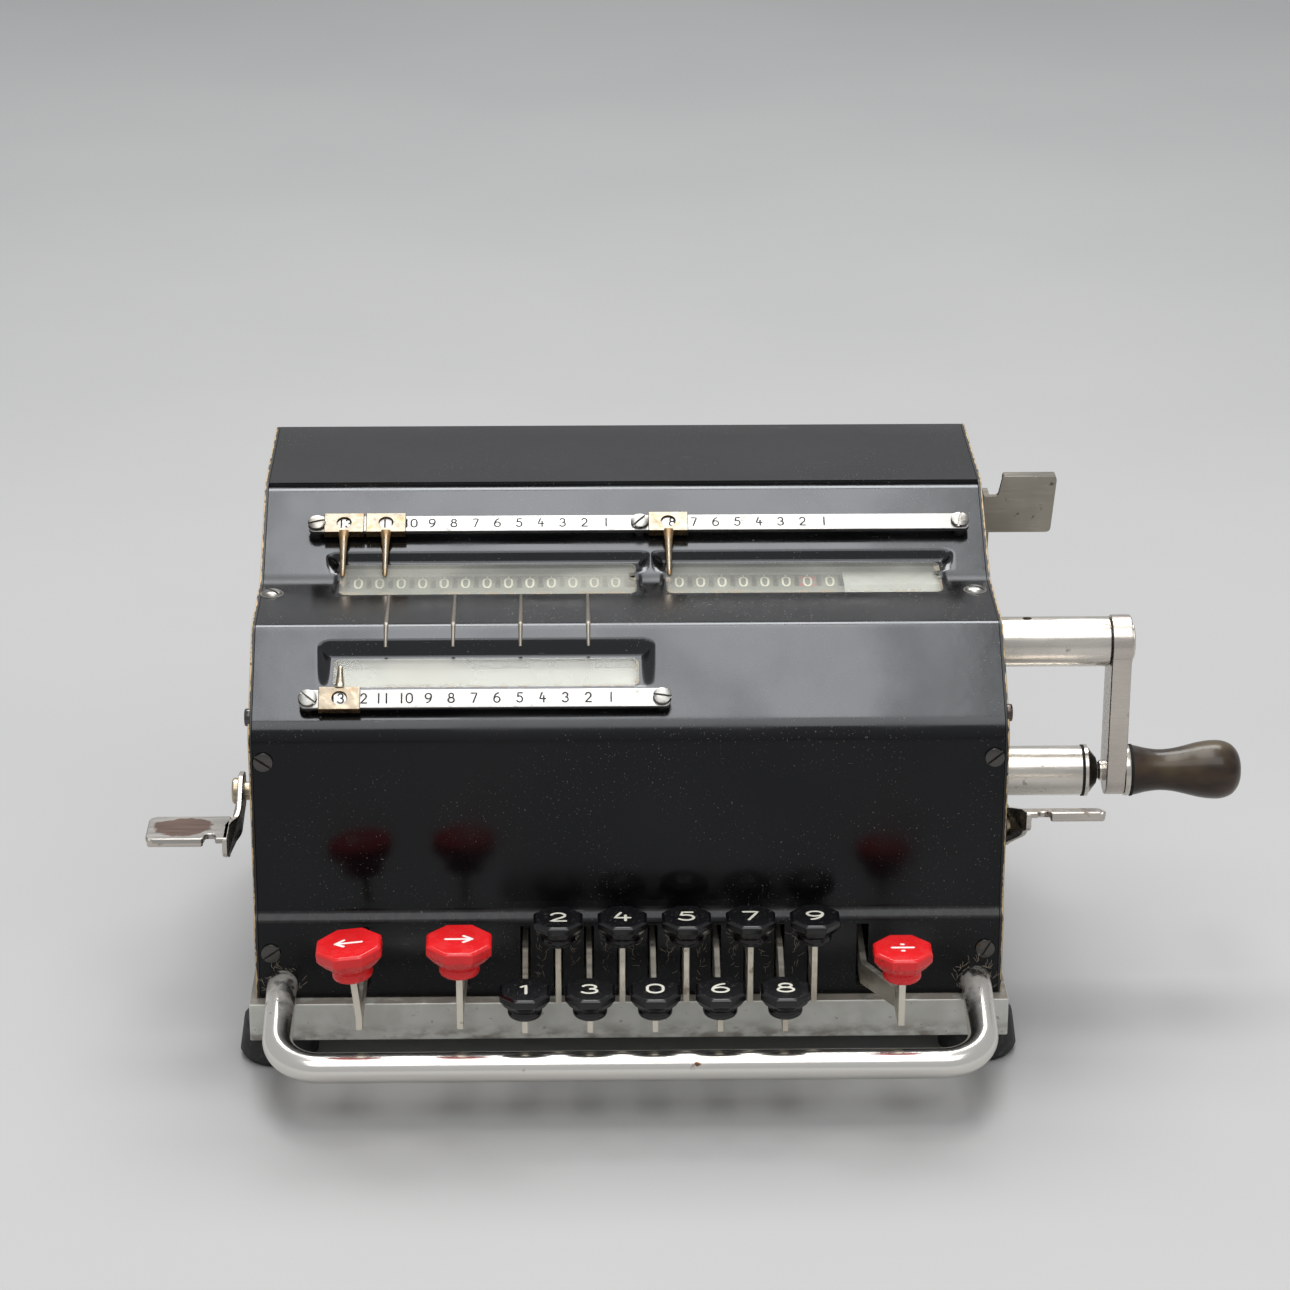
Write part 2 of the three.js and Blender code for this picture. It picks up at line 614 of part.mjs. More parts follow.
// The way the plate bends on its way forward, or on its way up to a leaning cap.
function redKeyRibbon({ slotX, stemX, capX, armZ, top }) {
  if (capX !== stemX) {
    const route = [[stemX, 0], [stemX, armZ + 2], [capX, top]];
    return frontPlate(strip(route, RED_LEVER), -CASE_HALF, CASE_HALF);
  }
  const route = [[slotX, CASE_HALF], [slotX, -9], [stemX, -25], [stemX, -CASE_HALF]];
  return planPlate(strip(route, RED_LEVER), 0, TOP_Z);
}

// The socket in a red cap: the top of the stem, grown by the gap on every side.
function stemSocket({ capX, stemX, armZ, top, cap }) {
  const half = RED_LEVER / 2 + GAP;
  const high = top - cap.height + SOCKET_DEPTH + GAP;
  const foot = top - cap.height - 3;
  const bendZ = armZ + 2;
  const middleAt = (z) => stemX + ((capX - stemX) * (z - bendZ)) / (top - bendZ);
  return frontPlate([
    [middleAt(foot) - half, foot], [middleAt(foot) + half, foot],
    [middleAt(high) + half, high], [middleAt(high) - half, high],
  ], RED_Y - STEM_HALF - GAP, RED_Y + STEM_HALF + GAP);
}

function buildRedKey(key) {
  const { name, slotX, stemX, capX, armZ, top } = key;
  const plate = sidePlate(redKeySide(key), slotX - 25, slotX + 25).intersect(redKeyRibbon(key));
  const lean = Math.atan2(stemX - capX, top - armZ) / DEGREE;
  const cap = keyCap(key.cap, [capX, RED_Y, top], CAP_TILT, lean);
  addPiece(`${name}_lever`, cut(plate, pivotBore(slotX)), nickel);
  addPiece(`${name}_cap`, cut(cap, stemSocket(key)), redKey);
}

// ---------- Crank ----------

const CRANK_AXIS = [CRANK_Y, CRANK_Z];
const GRIP_AXIS = [CRANK_Y, CRANK_Z - CRANK_THROW];
const PLATE_FACE_X = BEARING_PLATE_X + FRAME + GAP;

function buildCrankTubes() {
  const tube = turned([
    [PLATE_FACE_X, 12], [PLATE_FACE_X + 2.5, 12], [PLATE_FACE_X + 2.5, TUBE_RADIUS], [TUBE_END_X, TUBE_RADIUS],
  ], CRANK_AXIS, 20);
  const oilHole = turnedUp([[CRANK_Z, 1.3], [CRANK_Z + 20, 1.3]], [124, CRANK_Y], 8);
  const bore = rod(90, 160, CRANK_SHAFT_RADIUS + 0.3, CRANK_AXIS);
  addPiece('crank_bearing_tube', cut(tube, bore, oilHole), nickel);

  const post = turned([
    [PLATE_FACE_X, 12], [PLATE_FACE_X + 2.5, 12], [PLATE_FACE_X + 2.5, TUBE_RADIUS],
    [REST_END_X - 5, TUBE_RADIUS], [REST_END_X - 4.8, 7], [REST_END_X - 4.5, 7.9], [REST_END_X - 3, 7.9],
    [REST_END_X, 3.6],
  ], GRIP_AXIS, 20);
  addPiece('crank_rest_post', cut(post, rod(REST_END_X - 6, REST_END_X + 1, 2.2, GRIP_AXIS, 10)), nickel);
}

function crankArm() {
  const [y, top, foot] = [CRANK_Y, CRANK_Z, CRANK_Z - CRANK_THROW];
  const r = ARM_RADIUS;
  const end = ARM_X + ARM_THICKNESS;
  return cut(
    joined(
      block([ARM_X, y - r, foot], [end, y + r, top]),
      rod(ARM_X, end, r, CRANK_AXIS, 24),
      rod(ARM_X, end, r, GRIP_AXIS, 24),
    ),
    rod(ARM_X - 1, end + 1, CRANK_SHAFT_RADIUS + 0.25, CRANK_AXIS),
    rod(ARM_X - 1, end + 1, SPINDLE_RADIUS + 0.25, GRIP_AXIS),
  );
}

function buildCrank() {
  const armEnd = ARM_X + ARM_THICKNESS;
  addPiece('crank_shaft', rod(GEAR_X - 3, armEnd, CRANK_SHAFT_RADIUS, CRANK_AXIS), nickel);
  addPiece('crank_arm', crankArm(), nickel);
  addPiece('grip_spindle', turned([
    [REST_END_X + GAP, 2.2], [REST_END_X + 1, SPINDLE_RADIUS], [armEnd + GAP, SPINDLE_RADIUS],
    [armEnd + GAP, 8], [armEnd + 1.7, 8], [armEnd + 1.7, SPINDLE_RADIUS - 0.4],
    [GRIP_END_X - 4, SPINDLE_RADIUS - 0.4],
  ], GRIP_AXIS), nickel);

  const start = armEnd + 2;
  const swell = new THREE.SplineCurve([
    new THREE.Vector2(start, 8.1), new THREE.Vector2(start + 9, 6.5), new THREE.Vector2(start + 18, 7.4),
    new THREE.Vector2(start + 27, 9.2), new THREE.Vector2(GRIP_END_X - 3, 7.9),
    new THREE.Vector2(GRIP_END_X, 2.5),
  ]);
  const profile = swell.getPoints(11).map((point) => [point.x, point.y]);
  const bore = rod(start - 1, GRIP_END_X - 3.5, SPINDLE_RADIUS + 0.1, GRIP_AXIS);
  addPiece('crank_grip', cut(turned(profile, GRIP_AXIS, 16), bore), horn);
}

// ---------- Clearing levers ----------

// A side lever: an arm forward from the pivot, joggled away from the case and bent outward into a
// finger tab. side is -1 on the left and 1 on the right; the tab falls to the back by tilt degrees.
function sideLever({ side, pivot, armX, bendX, endX, tabY, tabZ, tilt }) {
  const [pivotY, pivotZ] = pivot;
  const tabBackY = tabY + TAB_DEPTH;
  const tabBackZ = tabZ - TAB_DEPTH * Math.sin(tilt * DEGREE);
  const span = (a, b) => [side * a, side * b].sort((first, second) => first - second);
  const plan = strip([
    [side * armX, pivotY + 8], [side * armX, tabBackY + 3],
    [side * bendX, tabY + 10], [side * bendX, tabY - 4],
  ], LEVER_PLATE);
  const armSide = sidePlate([
    [pivotY + 5, pivotZ + 4], [pivotY - 4, pivotZ + 7], [tabBackY, tabBackZ + 0.8], [tabY, tabZ + 0.8],
    [tabY, tabZ - 5], [tabY + 8, tabZ - 9], [tabBackY + 4, pivotZ - 7], [pivotY + 5, pivotZ - 5],
  ], ...span(0, endX));
  const [tabLow, tabHigh] = span(bendX - LEVER_PLATE / 2, endX);
  const tab = new THREE.BoxGeometry(tabHigh - tabLow, TAB_DEPTH, LEVER_PLATE);
  tab.translate((tabLow + tabHigh) / 2, TAB_DEPTH / 2, 0);
  const [lipLow, lipHigh] = span(bendX + 5, endX);
  const lip = new THREE.BoxGeometry(lipHigh - lipLow, LEVER_PLATE, 3.4);
  lip.translate((lipLow + lipHigh) / 2, LEVER_PLATE / 2, -0.8);
  const place = (geometry) => solidFrom(geometry.rotateX(-tilt * DEGREE).translate(0, tabY, tabZ));
  return joined(
    armSide.intersect(planPlate(plan, 0, TOP_Z)), place(tab), place(lip),
    rod(...span(armX, CASE_HALF - 4), STUD_RADIUS, pivot, 12),
    rod(...span(armX, armX + 3.2), BOSS_RADIUS, pivot, 12),
  );
}

// The upper lever: an arm up the right side, bent outward into an upright tab with a rolled top.
function upperLever() {
  const near = CASE_HALF + 1.2;
  const [pivotY, pivotZ] = UPPER_PIVOT;
  const { y, footZ, stepZ, topZ, stepX, left, right } = UPPER_TAB;
  const arm = sidePlate([
    [pivotY - 6, pivotZ - 5], [pivotY + 6, pivotZ - 5], [pivotY + 6, pivotZ + 5],
    [y + 8, footZ], [y + 8, stepZ], [y, stepZ], [y, footZ],
  ], near, near + LEVER_PLATE);
  const tab = frontPlate([
    [near, footZ], [right - 1.6, footZ, 1.5], [right, topZ, 1.5], [left, topZ, 1.5], [stepX, stepZ, 1],
    [near, stepZ],
  ], y, y + LEVER_PLATE);
  const roll = frontPlate([
    [left, topZ - 1.8], [right - 0.4, topZ - 1.8], [right - 0.2, topZ, 0.8], [left + 0.2, topZ, 0.8],
  ], y, y + 4.5);
  return joined(
    arm, tab, roll,
    rod(CASE_HALF - 4, near + LEVER_PLATE + 1, STUD_RADIUS, UPPER_PIVOT, 14),
  );
}

function buildClearingLevers() {
  addPiece('left_clearing_lever', sideLever(LEFT_LEVER), nickel);
  addPiece('lower_right_clearing_lever', sideLever(RIGHT_LEVER), nickel);
  addPiece('upper_right_clearing_lever', upperLever(), nickel);
}

// ---------- Mechanism ----------

function framePlate(x) {
  return sidePlate([
    [16, TRAY_TOP_Z + GAP], [16, 106], [34, 121], [66, 121], [98, 139], [148, 139],
    [148, TRAY_TOP_Z + GAP],
  ], x, x + FRAME);
}

const hole = (axis, radius) => rod(-CASE_HALF, CASE_HALF, radius + GAP, axis, 12);

function buildFrames() {
  const shared = [
    hole(PIVOT, PIVOT_RADIUS), hole(ROTOR_AXIS, JOURNAL_RADIUS), hole(DIAL_AXIS, DIAL_SHAFT_RADIUS),
    hole(REAR_TIE, TIE_RADIUS),
  ];
  addPiece('left_frame_plate', cut(framePlate(LEFT_FRAME_X), ...shared), rawSteel);
  addPiece('right_frame_plate', cut(framePlate(RIGHT_FRAME_X), ...shared), rawSteel);
  addPiece('bearing_plate', cut(
    framePlate(BEARING_PLATE_X),
    hole([CRANK_Y, CRANK_Z], CRANK_SHAFT_RADIUS),
    hole(ROTOR_AXIS, JOURNAL_RADIUS),
  ), rawSteel);
  const span = [LEFT_FRAME_X, RIGHT_FRAME_X + FRAME];
  addPiece('rear_tie_rod', rod(...span, TIE_RADIUS, REAR_TIE, 12), rawSteel);
  addPiece('key_pivot_rod', rod(...span, PIVOT_RADIUS, PIVOT, 12), rawSteel);
  addPiece('dial_shaft', rod(...span, DIAL_SHAFT_RADIUS, DIAL_AXIS, 12), rawSteel);
}

// A gear with a tooth, or where gapFirst is set a gap, pointing at an angle in the side view.
function gear([y, z], angle, gapFirst, boreRadius) {
  const pitchRadius = (GEAR_TEETH * GEAR_MODULE) / 2;
  const step = (2 * HALF_TURN) / GEAR_TEETH;
  const phase = angle + (gapFirst ? step / 2 : 0);
  const tip = pitchRadius + GEAR_MODULE * 0.85;
  const root = pitchRadius - GEAR_MODULE * 1.15;
  const corners = [];
  for (let tooth = 0; tooth < GEAR_TEETH; tooth += 1) {
    const middle = phase + tooth * step;
    const offsets = [[-0.31, root], [-0.12, tip], [0.12, tip], [0.31, root]];
    for (const [turn, radius] of offsets) {
      const at = middle + turn * step;
      corners.push([y + radius * Math.cos(at), z + radius * Math.sin(at)]);
    }
  }
  const disc = sidePlate(corners, GEAR_X, GEAR_X + GEAR_WIDTH);
  return cut(disc, rod(GEAR_X - 1, GEAR_X + GEAR_WIDTH + 1, boreRadius + 0.25, [y, z]));
}

function buildGears() {
  const towardsRotor = Math.atan2(ROTOR_AXIS[1] - CRANK_Z, ROTOR_AXIS[0] - CRANK_Y);
  addPiece('crank_gear', gear(CRANK_AXIS, towardsRotor, false, CRANK_SHAFT_RADIUS), brass);
  addPiece('rotor_gear', gear(ROTOR_AXIS, towardsRotor + HALF_TURN, true, JOURNAL_RADIUS), brass);
}

// Discs of equal pitch on one barrel: profile points as [x, radius], from left to right.
function ringProfile(firstX, count, pitch, thickness, radius, barrel) {
  const profile = [[firstX - pitch / 2, barrel]];
  for (let i = 0; i < count; i += 1) {
    const middle = firstX + i * pitch;
    profile.push([middle - thickness / 2, barrel], [middle - thickness / 2, radius]);
    profile.push([middle + thickness / 2, radius], [middle + thickness / 2, barrel]);
  }
  profile.push([firstX + (count - 0.5) * pitch, barrel]);
  return profile;
}

function buildRotor() {
  addPiece('rotor_shaft', turned([
    [LEFT_FRAME_X, JOURNAL_RADIUS], [LEFT_FRAME_X + FRAME + GAP, JOURNAL_RADIUS],
    [LEFT_FRAME_X + FRAME + GAP, ROTOR_SHAFT_RADIUS], [RIGHT_FRAME_X - GAP, ROTOR_SHAFT_RADIUS],
    [RIGHT_FRAME_X - GAP, JOURNAL_RADIUS], [BEARING_PLATE_X + FRAME, JOURNAL_RADIUS],
  ], ROTOR_AXIS), nickel);
  const wheels = ringProfile(ROTOR_HOME_X + PINWHEEL_PITCH / 2, PINWHEELS, PINWHEEL_PITCH, 4.4, ROTOR_RADIUS, 12);
  const barrel = turned(wheels, ROTOR_AXIS, 12);
  addPiece('pinwheel_rotor', cut(barrel, rod(0, RIGHT_FRAME_X, ROTOR_SHAFT_RADIUS + GAP, ROTOR_AXIS)), brass);
}

function dialSet({ first, count }) {
  const profile = ringProfile(first, count, DIAL_PITCH, 5.4, DIAL_RADIUS, 7);
  const bore = rod(first - 10, first + count * DIAL_PITCH + 10, DIAL_SHAFT_RADIUS + 0.3, DIAL_AXIS, 12);
  return cut(turned(profile, DIAL_AXIS, 10), bore);
}

function buildDials() {
  addPiece('result_dials', dialSet(RESULT_DIALS), dialWhite);
  addPiece('counter_dials', dialSet(COUNTER_DIALS), dialWhite);
  const lastX = COUNTER_DIALS.first + COUNTER_DIALS.count * DIAL_PITCH + GAP;
  addPiece('counter_units_dial', dialSet({ first: lastX, count: 1 }), dialWhite);
}

// One leaf of spring steel over the tail of each key lever, on a bar behind the pivot rod.
function buildSpringComb() {
  const bar = block([LEFT_FRAME_X + FRAME + GAP, COMB_Y, COMB_Z], [RIGHT_FRAME_X - GAP, COMB_Y + 6, COMB_Z + 5]);
  const keyXs = [FRONT_ROW, BACK_ROW].flatMap((row) => row.labels.map((label, i) => row.firstX + i * KEY_PITCH));
  const redXs = RED_KEYS.map((key) => key.slotX);
  const leaves = [...keyXs, ...redXs].map(
    (x) => block([x - 1.6, COMB_Y - 12, COMB_Z + 3.6], [x + 1.6, COMB_Y + 1, COMB_Z + 4.1]),
  );
  addPiece('key_spring_comb', joined(bar, ...leaves), rawSteel);
}

// The end-of-range bell, a thin brass cup on a post behind the rotor.
function buildBell() {
  const { x, y, foot, top, radius, wall } = BELL;
  const dome = (shrink) => [
    [foot - shrink * 3, radius - shrink], [foot + 6, radius - 0.5 - shrink], [top - 3.5 - shrink, 13 - shrink],
    [top - 0.5 - shrink, 6 - shrink], [top - shrink, 0.5],
  ];
  const cup = cut(turnedUp(dome(0), [x, y], 14), turnedUp(dome(wall), [x, y], 14));
  const post = turnedUp([[TRAY_TOP_Z + GAP, 2.5], [top - 0.5, 2.5]], [x, y], 10);
  addPiece('bell', joined(cup, post), brass);
}

// The pale plate that shows through the setting window while no digit is set.
function buildShutter() {
  const { left, right, front, back } = SETTING_WINDOW;
  const slope = Math.atan2(back[1] - front[1], back[0] - front[0]);
  const plate = new THREE.Group();
  plate.position.set(0, front[0], front[1]);
  plate.rotation.x = slope;
  machine.add(plate);
  addPiece('setting_shutter', block([left - 3, 0.8, -4.6], [right + 3, 10.4, -3.6]), dialWhite, plate);
}

// ---------- Building ----------

buildCovers();
buildSideCovers();
buildWindow('result_window', RESULT_WINDOW);
buildWindow('counter_window', COUNTER_WINDOW);
buildWindow('setting_window', SETTING_WINDOW);
buildScales();
buildBase();
buildFeet();
buildHandle();
buildDigitKeys(FRONT_ROW, frontRowSide);
buildDigitKeys(BACK_ROW, backRowSide);
RED_KEYS.forEach(buildRedKey);
buildCrankTubes();
buildCrank();
buildClearingLevers();
buildFrames();
buildGears();
buildRotor();
buildDials();
buildSpringComb();
buildBell();
buildShutter();

const middleX = (GRIP_END_X - LEFT_LEVER.endX) / 2;
const middleY = (HANDLE_BAR_Y - HANDLE_RADIUS + TRAY_BACK_Y) / 2;
machine.position.set(-middleX, -middleY, 0);
const addingMachine = new THREE.Group();
addingMachine.add(machine);

export default addingMachine;
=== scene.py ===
"""Looks of a mechanical adding machine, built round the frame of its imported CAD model.

Lengths are in millimetres, measured from the middle of the front panel at the height of the table:
x to the operator's right, y to the back, z up. piece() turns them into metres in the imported
model's own frame, whose place is read from the box of the front cover.
"""
import json
import math

import bmesh
import bpy
from mathutils import Matrix, Vector

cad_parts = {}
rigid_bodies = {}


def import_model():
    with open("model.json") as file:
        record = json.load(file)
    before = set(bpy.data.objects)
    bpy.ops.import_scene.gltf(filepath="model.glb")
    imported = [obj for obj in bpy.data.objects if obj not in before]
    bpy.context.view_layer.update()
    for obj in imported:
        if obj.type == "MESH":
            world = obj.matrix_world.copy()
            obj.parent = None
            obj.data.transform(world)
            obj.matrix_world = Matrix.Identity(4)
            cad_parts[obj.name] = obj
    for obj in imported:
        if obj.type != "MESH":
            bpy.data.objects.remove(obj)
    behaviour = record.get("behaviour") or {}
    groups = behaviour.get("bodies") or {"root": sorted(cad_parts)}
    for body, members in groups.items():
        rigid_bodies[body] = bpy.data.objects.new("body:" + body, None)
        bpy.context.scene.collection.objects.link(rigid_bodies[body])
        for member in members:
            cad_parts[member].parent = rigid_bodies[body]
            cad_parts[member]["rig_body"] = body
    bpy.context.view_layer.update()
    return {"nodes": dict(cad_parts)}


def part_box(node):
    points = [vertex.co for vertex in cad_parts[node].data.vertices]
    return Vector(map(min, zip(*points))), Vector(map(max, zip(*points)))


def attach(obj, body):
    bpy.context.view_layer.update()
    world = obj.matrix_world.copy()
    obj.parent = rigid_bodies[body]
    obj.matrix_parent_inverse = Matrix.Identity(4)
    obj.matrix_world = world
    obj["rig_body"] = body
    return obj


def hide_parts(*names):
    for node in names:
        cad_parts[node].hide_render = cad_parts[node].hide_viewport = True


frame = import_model()

# ---------- Driving dimensions ----------

STEP = 2.4  # how far the lower panel stands in front of the upright front
CASE_HALF = 112
SIDE_SHEET = 1.2
COVER_HALF = CASE_HALF - SIDE_SHEET - 0.1
COVER_SHEET = 1.2
TOP_Z = 150
REAR_Y = 155
CREST_Y = 99
SHELF_Z = 129.8
SHELF_BACK_Y = 64
SHELF_FRONT_Y = 28
BROW_Z = 106.9
LEDGE_Z = 49.2
COVER_FOOT_Z = 22
BROW_RADIUS = 10
SHELF_RADIUS = 5.5
HOLLOW_RADIUS = 7
CREST_RADIUS = 7
REAR_RADIUS = 1
OVERLAP = 1.1  # the front cover's top edge lies this far under the rear cover's

# Windows: from the front edge of the pane to its back edge, as (y, z).
RESULT_WINDOW = dict(left=-87.6, right=3.4, front=(52.7, 129.95), back=(72.8, 132.63))
COUNTER_WINDOW = dict(left=12.1, right=96.8, front=(52.7, 129.95), back=(72.8, 132.63))
SETTING_WINDOW = dict(left=-87.6, right=3.4, front=(11.5, 116.2), back=(22.3, 121.9))
WINDOWS = (RESULT_WINDOW, COUNTER_WINDOW, SETTING_WINDOW)
ALCOVE_END = 4.4  # width of the rounded wall at each end of an alcove
ALCOVE_BACK = 1.9  # and along its back
ALCOVE_FOOT = 1.4  # width of the rise at each end where the sheet lies lower than the pane
WINDOW_LIP = 0.8  # how far the sheet reaches in under a pane
WINDOW_CORNER = 1.6
PANE = 1.2
PANE_CORNER = 2.2

# Scale bars on the two slopes, and the markers that slide on them.
UPPER_SLOPE = math.atan2(TOP_Z - SHELF_Z, CREST_Y - SHELF_BACK_Y)
LOWER_SLOPE = math.atan2(SHELF_Z - BROW_Z, SHELF_FRONT_Y)
UPPER_BAR = dict(crest=(CREST_Y, TOP_Z), slope=UPPER_SLOPE, down=19.7, left=-97.4, right=106.4,
                 screws=(-95, 4.6, 103.6))
LOWER_BAR = dict(crest=(SHELF_FRONT_Y, SHELF_Z), slope=LOWER_SLOPE, down=26.6, left=-96.8,
                 right=12.1, screws=(-94.4, 9.7))
BAR_WIDTH = 6.2
BAR_THICKNESS = 1.4
BAR_LIFT = 2
BAR_TOP = BAR_LIFT + BAR_THICKNESS
MARKER_LENGTH = 12.3
MARKERS = (
    dict(number=1, x=-86.6, bar=UPPER_BAR, pointer=-19.8),
    dict(number=2, x=-73.7, bar=UPPER_BAR, pointer=-19.8),
    dict(number=3, x=13.4, bar=UPPER_BAR, pointer=-19.8),
    dict(number=4, x=-85.1, bar=LOWER_BAR, pointer=11.9),
)
MARKER_WALL = 0.65
SCALE_PITCH = 6.71
SCALE_ONES = dict(result=-5.8, counter=61.6, setting=-5.3)  # where each scale's figure one stands
BAR_DIGIT = (1.75, 3.1)
DECIMAL_WIRES = (-72, -52, -32, -11.8)
WIRE_BACK_Y = 52
WIRE_FALL = 7.8  # how far a wire runs down the lower slope

# Keys.
KEY_PITCH = 19
PIVOT = (28, 33)
LEVER = 1.8
FRONT_ROW = dict(y=-36.5, top=41, first=-31.1, labels="13068")
BACK_ROW = dict(y=-13, top=53, first=-21.3, labels="24579")
CAP = dict(across=14.7, head=4.1, height=8, waist=5)
CAP_TILT = 2.5
KEY_DIGIT = (4.6, 4.9)
KEY_SIGN = (7.6, 5.2)
RED_Y = -36
RED_CAP = dict(across=19, head=5.5, height=10.5, waist=5.9)
RED_KEYS = (
    dict(name="shift_left", sign="left", slot=-79.4, x=-82, lean=6, top=56.2, cap=RED_CAP),
    dict(name="shift_right", sign="right", slot=-49.4, x=-50, lean=0, top=57.2, cap=RED_CAP),
    dict(name="division", sign="divide", slot=69.8, x=78.8, lean=0, top=53.4,
         cap=dict(across=17, head=5, height=9.5, waist=5.6)),
)
GAP_FIRST = -26.2  # middle of the first strip of panel between two slots
GAP_PITCH = 9.5
SLOT_HALF = 1.5
SLOT_FOOT_Z = 23.6
SLOT_TOP_Z = 45

# Crank and handle.
CRANK_Y = 70
CRANK_Z = 106.7
CRANK_THROW = 43.6
GRIP_Z = CRANK_Z - CRANK_THROW
TUBE_RADIUS = 7.8
TUBE_END_X = 150.2
ARM_X = 150.5
ARM_END_X = 156.9
ARM_RADIUS = 8.3
REST_END_X = 148.2
GRIP_START_X = 158.9
HANDLE_RADIUS = 4.5
HANDLE_HALF = 104
HANDLE_LEG_Z = 26.4
HANDLE_ROOT_Y = 10
HANDLE_ELBOW_Y = -8.5
HANDLE_ELBOW = 12
HANDLE_BAR_Y = -41
HANDLE_BAR_Z = 18.2
HANDLE_BEND = 13

# Clearing levers at the sides: pivot and tab_front are (y, z), the tilt is in degrees.
LEFT_LEVER = dict(name="left", side=-1, pivot=(60, 62.3), arm_x=119.3, bend_x=122.3, end_x=146.5,
                  tab_front=(26, 60.5), tilt=0)
RIGHT_LEVER = dict(name="lower_right", side=1, pivot=(48, 55), arm_x=117.5, bend_x=121.8, end_x=145.6,
                   tab_front=(25, 67.8), tilt=20)
TAB_DEPTH = 17
TAB_HALF = 0.9  # half of a tab's thickness
WORN_SPOT = (-135.6, 34.8)  # middle of the oval that thumbs have worn on the left tab, as (x, y)

# Screws, with the angle of each slot in degrees.
FRONT_SCREWS = (
    ("upper_left_screw", (-107.7, 0, 97.8), -35), ("upper_right_screw", (107.8, 0, 97.9), 40),
    ("lower_left_screw", (-107.2, -STEP, 36.7), 35), ("lower_right_screw", (106.7, -STEP, 36.6), 60),
)
SHELF_SCREWS = (("left_shelf_screw", -107.6, -45), ("right_shelf_screw", 106.3, -29.5))
SHELF_SCREW_Y = 54.8

# Dials.
DIAL_AXIS = (73, 118.5)
DIAL_RADIUS = 9
DIAL_PITCH = 6.6
DIAL_WIDTH = 5.4
DIAL_DIGIT = (2.2, 4.5)
PLATE_SPANS = (("result", -92, 7.5), ("counter", 8.5, 100))  # the painted plates round the dials
RESULT_DIALS = dict(first=-82.2, count=13)
COUNTER_DIALS = dict(first=16.6, count=7)
UNITS_DIAL_X = COUNTER_DIALS["first"] + 7 * DIAL_PITCH + 0.3
DIAL_VIEW = 16  # degrees from the top of a dial, towards the operator, where its digit shows

low_corner, high_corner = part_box("front_cover")
ORIGIN = Vector(((low_corner.x + high_corner.x) / 2, low_corner.y + STEP / 1000, 0))
TO_FRAME = Matrix.Translation(ORIGIN) @ Matrix.Scale(0.001, 4)

# ---------- Shapes: lists of points and faces, in millimetres ----------


def joined(shapes):
    points, faces = [], []
    for shape_points, shape_faces in shapes:
        start = len(points)
        points += shape_points
        faces += [[start + i for i in face] for face in shape_faces]
    return points, faces


def moved(shape, matrix):
    return [matrix @ Vector(point) for point in shape[0]], shape[1]


def strip_faces(rows, columns, wrap=False):
    """Faces between neighbouring rows of points, each row with the same number of columns."""
    faces = []
    for i in range(rows - 1):
        for j in range(columns if wrap else columns - 1):
            k = (j + 1) % columns
            faces.append([i * columns + j, i * columns + k, (i + 1) * columns + k, (i + 1) * columns + j])
    return faces


def tube_of(rings):
    """A closed skin over rings of points, with a flat face over each end."""
    count = len(rings[0])
    faces = strip_faces(len(rings), count, wrap=True)
    last = (len(rings) - 1) * count
    faces.append(list(range(count))[::-1])
    faces.append([last + i for i in range(count)])
    return [point for ring in rings for point in ring], faces


def turned(profile, centre, along="x", sides=48):
    """A body turned about a line along x or z through centre. The profile is (position, radius)."""
    rings = []
    for position, radius in profile:
        ring = []
        for i in range(sides):
            angle = 2 * math.pi * i / sides
            u, v = radius * math.cos(angle), radius * math.sin(angle)
            if along == "x":
                ring.append(Vector((position, centre[0] + u, centre[1] + v)))
            else:
                ring.append(Vector((centre[0] + u, centre[1] + v, position)))
        rings.append(ring)
    return tube_of(rings)


def rounded(corners, steps=6, closed=True):
    """Points along a line of corners, where the corners given with a radius are rounded."""
    points = []
    count = len(corners)
    for i, (corner, radius) in enumerate(corners):
        here = Vector(corner)
        if radius == 0 or (not closed and i in (0, count - 1)):
            points.append(here)
            continue
        before = (Vector(corners[i - 1][0]) - here).normalized()
        after = (Vector(corners[(i + 1) % count][0]) - here).normalized()
        half = before.angle(after) / 2
        reach = radius / math.tan(half)
        centre = here + (before + after).normalized() * (radius / math.sin(half))
        start, end = here + before * reach - centre, here + after * reach - centre
        sweep_angle = start.angle(end)
        for k in range(steps + 1):
            t = k / steps
            first = math.sin((1 - t) * sweep_angle) / math.sin(sweep_angle)
            second = math.sin(t * sweep_angle) / math.sin(sweep_angle)
            points.append(centre + start * first + end * second)
    return points


def plate(outline, axis, low, high):
    """A flat plate of the given outline. axis names the one that its thickness lies along."""
    rings = []
    for level in (low, high):
        ring = []
        for point in outline:
            spot = [point[0], point[1]]
            spot.insert("xyz".index(axis), level)
            ring.append(Vector(spot))
        rings.append(ring)
    return tube_of(rings)


def box_outline(left, right, near, far):
    return [(left, near), (right, near), (right, far), (left, far)]


def circle(radius, sides=20, flat=1):
    angles = [2 * math.pi * i / sides for i in range(sides)]
    return [(radius * math.cos(a), radius * math.sin(a) * flat) for a in angles]


